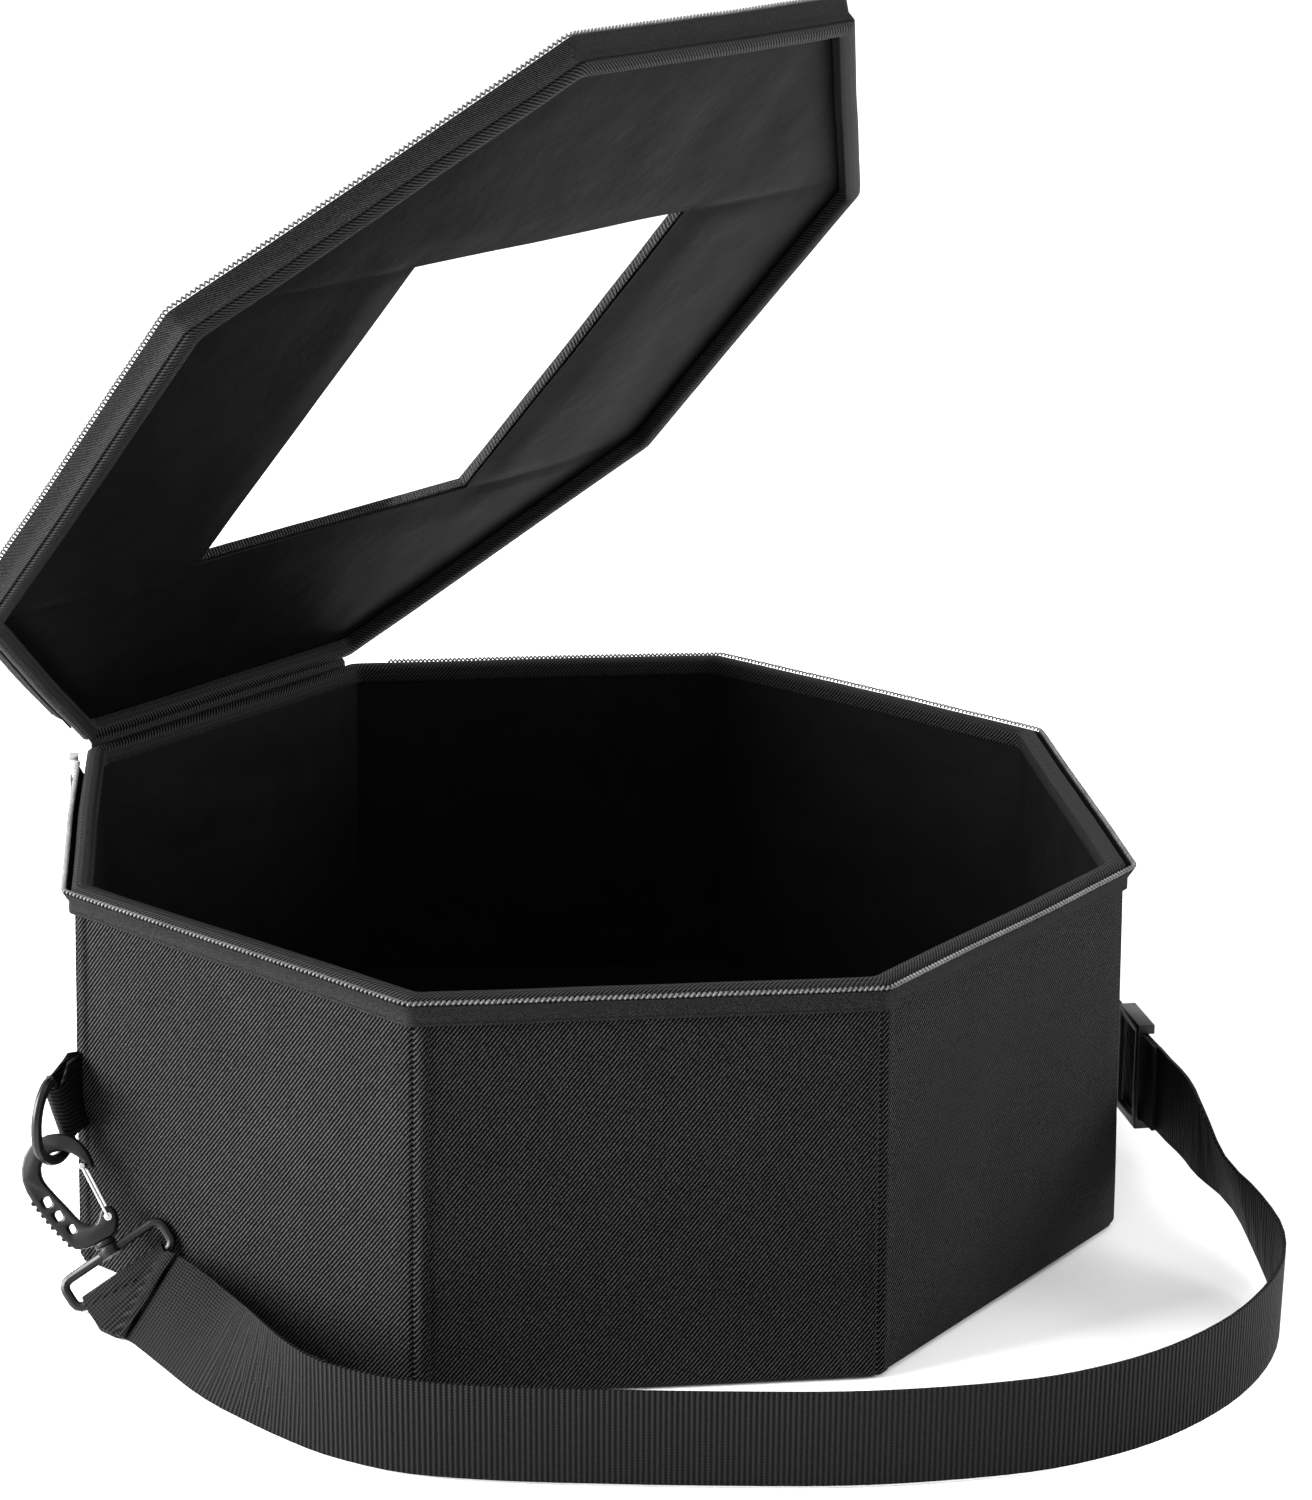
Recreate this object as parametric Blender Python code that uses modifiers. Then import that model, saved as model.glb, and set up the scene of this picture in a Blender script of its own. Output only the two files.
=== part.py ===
"""Octagonal zip-up hat box: padded walls, a hinged lid with a clear window, a clip-on strap."""
import math

import bmesh
import bpy
from mathutils import Matrix, Vector

# Sizes are metres. X is the width, -Y the front, +Y the hinge side. The box stands on Z = 0.
GAP = 0.0003                  # clearance between pieces that touch

# Outline of the box over its walls, an octagon with eight nearly equal sides
RIM_WIDTH = 0.430
RIM_DEPTH = 0.442
CORNER_CUT = 0.128            # what each diagonal side takes off the width and the depth
RIM_HEIGHT = 0.1685
FOOT_FLARE = 0.004            # how far the walls stand out at the foot
CORNER_RADIUS = 0.006         # turn of the bindings and zippers at a corner
CORNER_STEPS = 3

# Padded boards and what covers them
WALL = 0.0045
LINING = 0.0008
BASE = 0.005
SEAM_ROUND = 0.0022           # rounded edge of a wall board beside a seam
FOOT_ROUND = 0.0035
BINDING = 0.0009              # ribbed tape folded over an edge
BINDING_REACH = 0.0085        # how far the folded tape comes down each face
BINDING_CROWN = 0.0020        # height of its rounded fold

# Lid
LID_DEPTH = 0.0150            # from its free edge to its outer face
LID_BOARD = 0.0050
LID_SIDE = 0.0028             # its side band
LID_EDGE_ROUND = 0.0030
LID_BINDING_REACH = 0.0072
LID_OPEN = math.radians(48.4)
WINDOW_WIDTH = 0.177
WINDOW_LENGTH = 0.196
WINDOW_FILM = 0.0006
WINDOW_HEM = 0.006            # how far the film reaches past the opening, inside the lid

# Cloth hinge along the back
HINGE_STRIP = 0.0008
HINGE_REACH = 0.0125          # how far the strip runs down the wall and up the lid
HINGE_END = 0.004             # its ends stop short of the corners

# Zipper
TAPE = 0.0008
TAPE_LOW = 0.0115             # from the rim down to the sewn edge of the tape
TAPE_BEND = 0.0070            # from the rim down to where the tape turns out
TAPE_TOP = 0.0025
TAPE_FLARE = 0.0027           # how far the toothed edge stands off the sewn edge
LID_TAPE_START = 0.0030       # from the lid's free edge to the sewn edge of its tape
LID_TAPE_END = 0.0125
LID_TAPE_FLARE = 0.0026
COIL_WIDTH = 0.0026
COIL_HEIGHT = 0.0020
ZIP_SETBACK = 0.020           # from the hinge corners to the zipper's ends

# Zipper slider and its pull
SLIDER_LENGTH = 0.0105
SLIDER_WIDTH = 0.0050
SLIDER_HEIGHT = 0.0042
SLIDER_OUT = 0.0020           # how far it stands proud of the coil
BAIL_WIRE = 0.0012
BAIL_SPAN = 0.0064
BAIL_DROP = 0.0044            # from the slider down to the bail's crossbar
PULL_LENGTH = 0.0260
PULL_WIDTH = 0.0070
PULL_THICKNESS = 0.0012
PULL_HOLE = 0.0026            # hole at its lower end

# Shoulder strap
STRAP_WIDTH = 0.039
STRAP = 0.0015
LAYER_GAP = 0.0003            # between two layers of the strap
FOLD_LENGTH = 0.025           # sewn fold at the left end
FOLD_MERGE = 0.018            # the layers lie together this far from a bar
TAIL_LENGTH = 0.098           # second layer at the right end, back past the adjuster
LEAD = 0.006                  # half the straight stretch of the strap beside a bar
STATION = 0.009               # distance between the strap's cross-sections
STATION_FINE = 0.004

# D-rings and the tabs that hold them
RING_HEIGHT = 0.042
RING_REACH = 0.027
RING_WIRE = 0.0046
RING_MIDDLE = 0.0765          # height of the ring's straight bar above the floor
RING_STANDOFF = 0.0165        # from the corner seam to that bar
RING_DROOP = math.radians(25)
TAB_HEIGHT = 0.0285
TAB_WEBBING = 0.0013

# Snap hooks, measured from the swivel along the hook
HOOK_THICKNESS = 0.0050
HOOK_ROUND = 0.0008
GATE_WIRE = 0.0013
GATE_FOOT = (0.0067, 0.0066)
GATE_TIP = (0.0064, 0.0300)
HOOK_FOOT = -0.0010           # where the hook body ends and its swivel starts
COLLAR_RADIUS = 0.0046
COLLAR_LENGTH = 0.0020
BARREL_LENGTH = 0.0040
SWIVEL_GAP = 0.0008
LOOP_WIDTH = 0.052
LOOP_LENGTH = 0.0170
LOOP_WIRE = 0.0042
LOOP_ROUND = 0.0038

# Adjuster, a three-bar slide whose middle bar lies behind the webbing
ADJUSTER_WIDTH = 0.049
ADJUSTER_LENGTH = 0.030
ADJUSTER_BAR = 0.0048
ADJUSTER_BAR_DEPTH = 0.0016
ADJUSTER_PLACE = 0.068        # from the right loop's bar to the slide's middle bar

# Half-height profile of a D-ring's wire: share of its reach, share of its half height
RING_SHAPE = [(0.0, 0.83), (0.04, 0.94), (0.20, 1.0), (0.52, 0.90), (0.83, 0.56)]

# A tab between its seam and its ring: distance from the ring's bar as a share of the standoff,
# how far its two layers have parted, and how far it has turned to lie along the bar
TAB_STATIONS = [(0.86, 0.0, 0.0), (0.62, 0.15, 0.35), (0.30, 0.80, 0.85)]

# Outline of the snap hook: across the hook and along it
HOOK_OUTLINE = [
    (-0.0038, -0.0010), (-0.0103, 0.0004), (-0.0128, 0.0034), (-0.0160, 0.0135),
    (-0.0186, 0.0260), (-0.0186, 0.0365), (-0.0135, 0.0450), (-0.0050, 0.0488),
    (0.0033, 0.0470), (0.0086, 0.0418), (0.0106, 0.0350), (0.0104, 0.0285),
    (0.0084, 0.0282), (0.0076, 0.0315), (0.0062, 0.0345), (0.0030, 0.0388),
    (-0.0025, 0.0412), (-0.0081, 0.0398), (-0.0110, 0.0350), (-0.0105, 0.0290),
    (-0.0074, 0.0185), (-0.0050, 0.0104), (-0.0018, 0.0070), (0.0014, 0.0068),
    (0.0042, 0.0098), (0.0067, 0.0112), (0.0092, 0.0098), (0.0098, 0.0058),
    (0.0074, 0.0010), (0.0038, -0.0010),
]
# Cut-outs in the hook's spine: middle across, middle along, half width, half length
HOOK_SLOTS = [(-0.0134, 0.0240, 0.0019, 0.0023), (-0.0118, 0.0168, 0.0018, 0.0022),
              (-0.0092, 0.0094, 0.0015, 0.0020)]

# The two sides: their corner, the azimuths of the tab and the ring, the azimuth and elevation of
# the hook's plane and its lean, the lean of the loop on its swivel, which end of the loop's bar
# is the upper one, and the point of the hook's mouth that the ring's wire passes through
SIDES = {
    "left": {"corner": 0, "tab": 204.0, "ring": 200.0, "azimuth": 214.1, "elevation": 25.3,
             "lean": 30.6, "loop_lean": 6.0, "upper": 1, "mouth": (-0.0014, 0.0382, -0.00215)},
    "right": {"corner": 4, "tab": -22.5, "ring": -36.2, "azimuth": -36.9, "elevation": 0.0,
              "lean": -80.0, "loop_lean": 0.0, "upper": -1, "mouth": (-0.0044, 0.0384, 0.0)},
}
SEAT_STATION = 3              # row of RING_SHAPE where the hook sits on the ring's wire

# Middle line of the strap between its two bars: how far along it is as a share, its place off the
# straight line from bar to bar in x and y, its height above the floor, the lean of its width off
# the vertical, and the azimuth that its upper edge leans to, in degrees
STRAP_ROUTE = [
    (0.029, -0.0205, -0.0172, 0.0143, 47, -43),
    (0.065, -0.0438, -0.0397, 0.0145, 44, -40),
    (0.100, -0.0681, -0.0600, 0.0160, 34, -32),
    (0.129, -0.0873, -0.0778, 0.0183, 18, -30),
    (0.156, -0.1033, -0.0951, 0.0196, 6, -30),
    (0.183, -0.1154, -0.1118, 0.0197, 0, 0),
    (0.219, -0.1232, -0.1339, 0.0197, 0, 0),
    (0.256, -0.1239, -0.1537, 0.0197, 0, 0),
    (0.296, -0.1224, -0.1729, 0.0197, 0, 0),
    (0.361, -0.1179, -0.2033, 0.0197, 0, 0),
    (0.429, -0.1107, -0.2341, 0.0197, 0, 0),
    (0.498, -0.0984, -0.2592, 0.0197, 0, 0),
    (0.542, -0.0862, -0.2696, 0.0197, 0, 0),
    (0.582, -0.0727, -0.2729, 0.0197, 0, 0),
    (0.624, -0.0561, -0.2694, 0.0197, 0, 0),
    (0.662, -0.0407, -0.2594, 0.0197, 0, 0),
    (0.696, -0.0286, -0.2447, 0.0198, 4, 210),
    (0.727, -0.0202, -0.2252, 0.0230, 12, 210),
    (0.759, -0.0182, -0.1990, 0.0300, 30, 210),
    (0.788, -0.0209, -0.1734, 0.0390, 48, 212),
    (0.816, -0.0227, -0.1490, 0.0470, 26, 215),
    (0.846, -0.0193, -0.1241, 0.0490, 8, 215),
    (0.895, -0.0158, -0.0826, 0.0470, 0, 0),
    (0.948, -0.0090, -0.0393, 0.0445, 2, 230),
]

FINISHES = {
    "outer_cloth": ((0.021, 0.021, 0.022), 0.85, 0.0),
    "lining_cloth": ((0.009, 0.009, 0.010), 0.55, 0.0),
    "ribbed_tape": ((0.030, 0.030, 0.031), 0.75, 0.0),
    "zip_tape": ((0.016, 0.016, 0.017), 0.80, 0.0),
    "zip_coil": ((0.060, 0.060, 0.062), 0.35, 0.0),
    "bright_metal": ((0.600, 0.600, 0.610), 0.25, 1.0),
    "black_plastic": ((0.012, 0.012, 0.013), 0.35, 0.0),
    "webbing": ((0.022, 0.022, 0.023), 0.75, 0.0),
    "clear_film": ((0.900, 0.910, 0.920), 0.10, 0.0),
}
SIDE_NAMES = ["left", "front_left", "front", "front_right", "right", "back_right", "back", "back_left"]
BACK_SIDE = 6
ZIP_FIRST_SIDE = 7

# Places that several pieces share
WALL_TOP = RIM_HEIGHT - BINDING_CROWN - GAP
LINED_WALL = WALL + GAP + LINING
HINGE_OUT = BINDING + 2 * GAP + HINGE_STRIP          # outer face of the hinge strips
HINGE_Y = RIM_DEPTH / 2 + HINGE_OUT + GAP
HINGE_Z = RIM_HEIGHT + GAP
LID_EDGE = HINGE_Z + GAP                             # free edge of the closed lid
TAPE_IN = BINDING + 2 * GAP                          # inner face of a zipper tape
GATE_LEG = HOOK_THICKNESS / 2 + GAP + GATE_WIRE / 2  # from the hook's middle to a gate leg
BAR_WRAP = LOOP_WIRE / 2 + GAP + STRAP / 2           # middle of the strap round a bar
LAYER = (STRAP + LAYER_GAP) / 2
LOOP_BAR = HOOK_FOOT - GAP - COLLAR_LENGTH - SWIVEL_GAP - BARREL_LENGTH / 2


def clear_scene():
    """Remove every object, then make the collections for the pieces and for the guides."""
    for old in list(bpy.data.objects):
        bpy.data.objects.remove(old, do_unlink=True)
    made = []
    for name in ("hat_box", "guides"):
        collection = bpy.data.collections.new(name)
        bpy.context.scene.collection.children.link(collection)
        made.append(collection)
    return made


PIECES, GUIDES = clear_scene()


def material(name):
    """The Principled material with this name, made once."""
    found = bpy.data.materials.get(name)
    if found:
        return found
    colour, roughness, metallic = FINISHES[name]
    made = bpy.data.materials.new(name)
    made.use_nodes = True
    shader = made.node_tree.nodes["Principled BSDF"]
    shader.inputs["Base Color"].default_value = (*colour, 1.0)
    shader.inputs["Roughness"].default_value = roughness
    shader.inputs["Metallic"].default_value = metallic
    return made


def pivot(name, place, turn):
    """An empty on a joint's axis, for the moving pieces to hang from."""
    empty = bpy.data.objects.new(name, None)
    empty.matrix_world = Matrix.Translation(place) @ turn
    PIECES.objects.link(empty)
    return empty


def add_mesh(name, bm, finish, smooth_angle=None, parent=None):
    """Turn a bmesh in world places into a named piece with its material and parent."""
    bmesh.ops.recalc_face_normals(bm, faces=bm.faces)
    if bm.calc_volume(signed=True) < 0:
        bmesh.ops.reverse_faces(bm, faces=bm.faces)
    if parent:
        bmesh.ops.transform(bm, matrix=parent.matrix_world.inverted(), verts=bm.verts)
    mesh = bpy.data.meshes.new(name)
    bm.to_mesh(mesh)
    bm.free()
    if smooth_angle:
        mesh.shade_smooth()
        mesh.set_sharp_from_angle(angle=math.radians(smooth_angle))
    mesh.materials.append(material(finish))
    piece = bpy.data.objects.new(name, mesh)
    piece.parent = parent
    PIECES.objects.link(piece)
    return piece


def add_curve(name, curve, finish, matrix, parent=None):
    """Make a curve a mesh piece with welded caps, placed by its matrix."""
    holder = bpy.data.objects.new(name + "_curve", curve)
    PIECES.objects.link(holder)
    bpy.context.view_layer.update()
    evaluated = holder.evaluated_get(bpy.context.evaluated_depsgraph_get())
    mesh = bpy.data.meshes.new_from_object(evaluated)
    bpy.data.objects.remove(holder, do_unlink=True)
    bm = bmesh.new()
    bm.from_mesh(mesh)
    bmesh.ops.remove_doubles(bm, verts=bm.verts, dist=0.00001)
    bmesh.ops.transform(bm, matrix=matrix, verts=bm.verts)
    bpy.data.meshes.remove(mesh)
    return add_mesh(name, bm, finish, smooth_angle=40, parent=parent)


def cells(name, marks, is_solid, finish, matrix):
    """A solid from the filled cells of a grid with those marks along its three axes."""
    bm = bmesh.new()
    corners = {}

    def corner(i, j, k):
        if (i, j, k) not in corners:
            corners[i, j, k] = bm.verts.new(matrix @ Vector((marks[0][i], marks[1][j], marks[2][k])))
        return corners[i, j, k]

    def filled(i, j, k):
        inside = all(0 <= index < len(axis) - 1 for index, axis in zip((i, j, k), marks))
        return inside and is_solid(i, j, k)

    for i in range(len(marks[0]) - 1):
        for j in range(len(marks[1]) - 1):
            for k in range(len(marks[2]) - 1):
                if not filled(i, j, k):
                    continue
                for axis in range(3):
                    for way in (0, 1):
                        beside = [i, j, k]
                        beside[axis] += 2 * way - 1
                        if filled(*beside):
                            continue
                        face = []
                        for a, b in ((0, 0), (1, 0), (1, 1), (0, 1)):
                            spot = [i, j, k]
                            spot[axis] += way
                            spot[(axis + 1) % 3] += a
                            spot[(axis + 2) % 3] += b
                            face.append(corner(*spot))
                        bm.faces.new(face if way else face[::-1])
    return add_mesh(name, bm, finish)


def wire(name, points, diameter, finish, matrix=Matrix(), cyclic=False, parent=None):
    """A round wire along a list of points."""
    curve = bpy.data.curves.new(name, "CURVE")
    curve.dimensions = "3D"
    curve.bevel_depth = diameter / 2
    curve.bevel_resolution = 2
    curve.use_fill_caps = True
    spline = curve.splines.new("POLY")
    spline.points.add(len(points) - 1)
    for target, point in zip(spline.points, points):
        target.co = (*point, 1.0)
    spline.use_cyclic_u = cyclic
    return add_curve(name, curve, finish, matrix, parent)


def plate(name, outlines, thickness, finish, matrix=Matrix(), rounding=0.0, parent=None):
    """A flat plate in its local XY plane: the first outline is its edge, the others are holes."""
    curve = bpy.data.curves.new(name, "CURVE")
    curve.dimensions = "2D"
    curve.fill_mode = "BOTH"
    curve.extrude = thickness / 2 - rounding
    curve.bevel_depth = rounding
    curve.bevel_resolution = 1
    curve.offset = -rounding
    for outline in outlines:
        spline = curve.splines.new("POLY")
        spline.points.add(len(outline) - 1)
        for target, (across, along) in zip(spline.points, outline):
            target.co = (across, along, 0.0, 1.0)
        spline.use_cyclic_u = True
    return add_curve(name, curve, finish, matrix, parent)


def block(name, corner_of, finish, parent=None):
    """A cube whose corners are moved to where corner_of puts them."""
    bm = bmesh.new()
    bmesh.ops.create_cube(bm, size=2)
    for vert in bm.verts:
        vert.co = corner_of(*(1 if value > 0 else -1 for value in vert.co))
    return add_mesh(name, bm, finish, parent=parent)


def box(name, size, middle, finish, matrix=Matrix(), parent=None):
    """A plain box in local places."""
    def corner_of(*signs):
        return matrix @ Vector([m + s * length / 2 for m, s, length in zip(middle, signs, size)])
    return block(name, corner_of, finish, parent)


def shape_by(piece, guide, operation):
    """Cut a piece by a guide, or join the guide to it. The guide itself is left out of the model."""
    PIECES.objects.unlink(guide)
    GUIDES.objects.link(guide)
    guide.hide_render = True
    guide.display_type = "WIRE"
    modifier = piece.modifiers.new(operation.lower(), "BOOLEAN")
    modifier.operation = operation
    modifier.solver = "EXACT"
    modifier.object = guide


def smooth_through(points, samples, cyclic=False):
    """Points on a Catmull-Rom curve through the given ones."""
    vectors = [Vector(point) for point in points]
    count = len(vectors)
    result = []
    for i in range(count if cyclic else count - 1):
        b = vectors[i]
        c = vectors[(i + 1) % count]
        a = vectors[i - 1] if i or cyclic else b * 2 - c
        d = vectors[(i + 2) % count] if i + 2 < count or cyclic else c * 2 - b
        for step in range(samples):
            t = step / samples
            result.append(0.5 * (2 * b + (c - a) * t + (2 * a - 5 * b + 4 * c - d) * t ** 2
                                 + (3 * b - a - 3 * c + d) * t ** 3))
    if not cyclic:
        result.append(vectors[-1])
    return result


def smoothstep(value):
    """0 to 1 with level ends."""
    value = min(1.0, max(0.0, value))
    return value * value * (3 - 2 * value)


def octagon(inset, height):
    """The outline's eight corners, from the left side's back corner round by the front."""
    flare = FOOT_FLARE * max(0.0, 1 - height / RIM_HEIGHT)
    x = RIM_WIDTH / 2 + flare - inset
    y = RIM_DEPTH / 2 + flare - inset
    trim = CORNER_CUT + (flare - inset) * (2 - math.sqrt(2))
    plan = [(-x, y - trim), (-x, trim - y), (trim - x, -y), (x - trim, -y),
            (x, trim - y), (x, y - trim), (x - trim, y), (trim - x, y)]
    return [Vector((px, py, height)) for px, py in plan]


def corner_arc(corners, index):
    """Rounded turn at one corner of an outline."""
    corner = corners[index]
    before = (corners[index - 1] - corner).normalized()
    after = (corners[(index + 1) % 8] - corner).normalized()
    half_turn = math.pi / 8
    centre = corner + (before + after).normalized() * CORNER_RADIUS / math.cos(half_turn)
    spoke = corner + before * CORNER_RADIUS * math.tan(half_turn) - centre
    step = 2 * half_turn / CORNER_STEPS
    return [centre + Matrix.Rotation(step * i, 3, "Z") @ spoke for i in range(CORNER_STEPS + 1)]


def round_outline(inset, height):
    """The whole outline with rounded corners."""
    corners = octagon(inset, height)
    return [point for i in range(8) for point in corner_arc(corners, i)]


def zipper_line(inset, height):
    """The outline from beside one hinge corner round the front to the other."""
    corners = octagon(inset, height)
    start = corners[7] + (corners[0] - corners[7]).normalized() * ZIP_SETBACK
    end = corners[6] + (corners[5] - corners[6]).normalized() * ZIP_SETBACK
    return [start, *(point for i in range(6) for point in corner_arc(corners, i)), end]


def sweep(name, profile, line, finish, is_open=False, parent=None):
    """Carry a closed cross-section of (inset, height) corners along an outline."""
    bm = bmesh.new()
    tracks = [line(inset, height) for inset, height in profile]
    sections = [[bm.verts.new(point) for point in section] for section in zip(*tracks)]
    following = sections[1:] if is_open else sections[1:] + sections[:1]
    size = len(profile)
    for here, there in zip(sections, following):
        for i in range(size):
            bm.faces.new((here[i], there[i], there[(i + 1) % size], here[(i + 1) % size]))
    if is_open:
        bm.faces.new(sections[0])
        bm.faces.new(list(reversed(sections[-1])))
    return add_mesh(name, bm, finish, smooth_angle=30, parent=parent)


def prism(name, line, inset, low, high, finish, parent=None):
    """A solid board whose outline follows the walls' slope."""
    bm = bmesh.new()
    bm.faces.new([bm.verts.new(point) for point in line(inset, low)])
    raised = bmesh.ops.extrude_face_region(bm, geom=bm.faces[:])
    for item in raised["geom"]:
        if isinstance(item, bmesh.types.BMVert):
            item.co = min(line(inset, high), key=lambda point: (point.xy - item.co.xy).length)
    return add_mesh(name, bm, finish, parent=parent)


def ribbon(name, stations, width, thickness, finish):
    """Webbing through a list of (middle, direction of its width) stations."""
    bm = bmesh.new()
    sections = []
    last = len(stations) - 1
    for i, (middle, across) in enumerate(stations):
        along = stations[min(i + 1, last)][0] - stations[max(i - 1, 0)][0]
        normal = along.cross(across).normalized() * thickness / 2
        side = across * width / 2
        corners = (middle - side - normal, middle + side - normal, middle + side + normal,
                   middle - side + normal)
        sections.append([bm.verts.new(corner) for corner in corners])
    for here, there in zip(sections, sections[1:]):
        for i in range(4):
            bm.faces.new((here[i], there[i], there[(i + 1) % 4], here[(i + 1) % 4]))
    bm.faces.new(sections[0])
    bm.faces.new(list(reversed(sections[-1])))
    return add_mesh(name, bm, finish, smooth_angle=30)


def outward(side):
    """Unit vector that points out of one side of the box."""
    ring = octagon(0.0, RIM_HEIGHT)
    along = (ring[(side + 1) % 8] - ring[side]).normalized()
    return Vector((along.y, -along.x, 0.0))


# Body of the box
def wall_board(side):
    """One padded board of the wall, mitred against its neighbours, with rounded outer edges."""
    def corner_of(end, depth, level):
        ring = octagon(WALL if depth > 0 else 0.0, WALL_TOP if level > 0 else 0.0)
        start, stop = ring[side], ring[(side + 1) % 8]
        inward = (stop - start).normalized() * GAP / 2 / math.cos(math.pi / 8)
        return start + inward if end < 0 else stop - inward

    board = block("wall_" + SIDE_NAMES[side], corner_of, "outer_cloth")
    normal = outward(side)
    face = octagon(0.0, WALL_TOP)[side].dot(normal)
    weights = board.data.attributes.new("bevel_weight_edge", "FLOAT", "EDGE")
    for edge in board.data.edges:
        ends = [board.data.vertices[index].co for index in edge.vertices]
        is_outer = all(face - end.dot(normal) < WALL / 2 for end in ends)
        is_upright = abs(ends[0].z - ends[1].z) > WALL
        is_foot = max(end.z for end in ends) < WALL
        if is_outer and is_foot:
            weights.data[edge.index].value = 1.0
        elif is_outer and is_upright:
            weights.data[edge.index].value = SEAM_ROUND / FOOT_ROUND
    rounding = board.modifiers.new("rounding", "BEVEL")
    rounding.limit_method = "WEIGHT"
    rounding.width = FOOT_ROUND
    rounding.segments = 2


def folded_tape(edge, away, reach):
    """Cross-section of tape folded over an edge; away is -1 for the body's rim and 1 for the lid's."""
    outer = -GAP - BINDING
    inner = LINED_WALL + GAP + BINDING
    middle = (outer + inner) / 2
    half = (inner - outer) / 2
    lip = edge + away * reach
    under = edge + away * BINDING_CROWN
    fold = []
    for degrees in range(0, 181, 30):
        turn = math.radians(degrees)
        fold.append((middle + half * math.cos(turn), under - away * BINDING_CROWN * math.sin(turn)))
    return [*fold, (outer, lip), (-GAP, lip), (-GAP, under), (LINED_WALL + GAP, under),
            (LINED_WALL + GAP, lip), (inner, lip)]


def flat_tape(start, bend, end, flare):
    """Cross-section of a zipper tape that stands off the wall towards its toothed edge."""
    return [(-TAPE_IN, start), (-TAPE_IN, bend), (-TAPE_IN - flare, end),
            (-TAPE_IN - flare - TAPE, end), (-TAPE_IN - TAPE, bend), (-TAPE_IN - TAPE, start)]


def coil(edge, flare, away):
    """Cross-section of the zipper's coil, just past the edge of its tape."""
    middle = -TAPE_IN - flare - TAPE / 2
    near = edge + away * GAP
    far = near + away * COIL_HEIGHT
    chamfer = COIL_HEIGHT / 4
    half = COIL_WIDTH / 2
    return [(middle + half - chamfer, near), (middle + half, near + away * chamfer),
            (middle + half, far - away * chamfer), (middle + half - chamfer, far),
            (middle - half + chamfer, far), (middle - half, far - away * chamfer),
            (middle - half, near + away * chamfer), (middle - half + chamfer, near)]


def hinge_strip(name, low, high, parent=None):
    """Half of the cloth hinge: a strip over the binding along the back."""
    def corner_of(end, depth, level):
        inset = -HINGE_OUT + HINGE_STRIP if depth > 0 else -HINGE_OUT
        ring = octagon(inset, RIM_HEIGHT)
        start, stop = ring[BACK_SIDE], ring[BACK_SIDE + 1]
        inward = (stop - start).normalized() * HINGE_END
        point = start + inward if end < 0 else stop - inward
        point.z = high if level > 0 else low
        return point
    block(name, corner_of, "ribbed_tape", parent)


def body_shell():
    """Base board, eight wall boards, the linings and the bound rim."""
    prism("base_board", octagon, WALL + GAP, 0.0, BASE, "outer_cloth")
    for side in range(8):
        wall_board(side)
    prism("base_lining", octagon, WALL + GAP, BASE + GAP, BASE + GAP + LINING, "lining_cloth")
    foot = BASE + LINING + 2 * GAP
    face = WALL + GAP
    lining = [(face, foot), (face, WALL_TOP), (face + LINING, WALL_TOP), (face + LINING, foot)]
    sweep("wall_lining", lining, octagon, "lining_cloth")
    sweep("rim_binding", folded_tape(RIM_HEIGHT, -1, BINDING_REACH), round_outline, "ribbed_tape")
    hinge_strip("hinge_strip_body", RIM_HEIGHT - HINGE_REACH, RIM_HEIGHT)


def body_zipper():
    """The body's half of the zipper, from one hinge corner round the front to the other."""
    top = RIM_HEIGHT - TAPE_TOP
    tape = flat_tape(RIM_HEIGHT - TAPE_LOW, RIM_HEIGHT - TAPE_BEND, top, TAPE_FLARE)
    sweep("body_zipper_tape", tape, zipper_line, "zip_tape", is_open=True)
    sweep("body_zipper_coil", coil(top, TAPE_FLARE, 1), zipper_line, "zip_coil", is_open=True)


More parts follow.
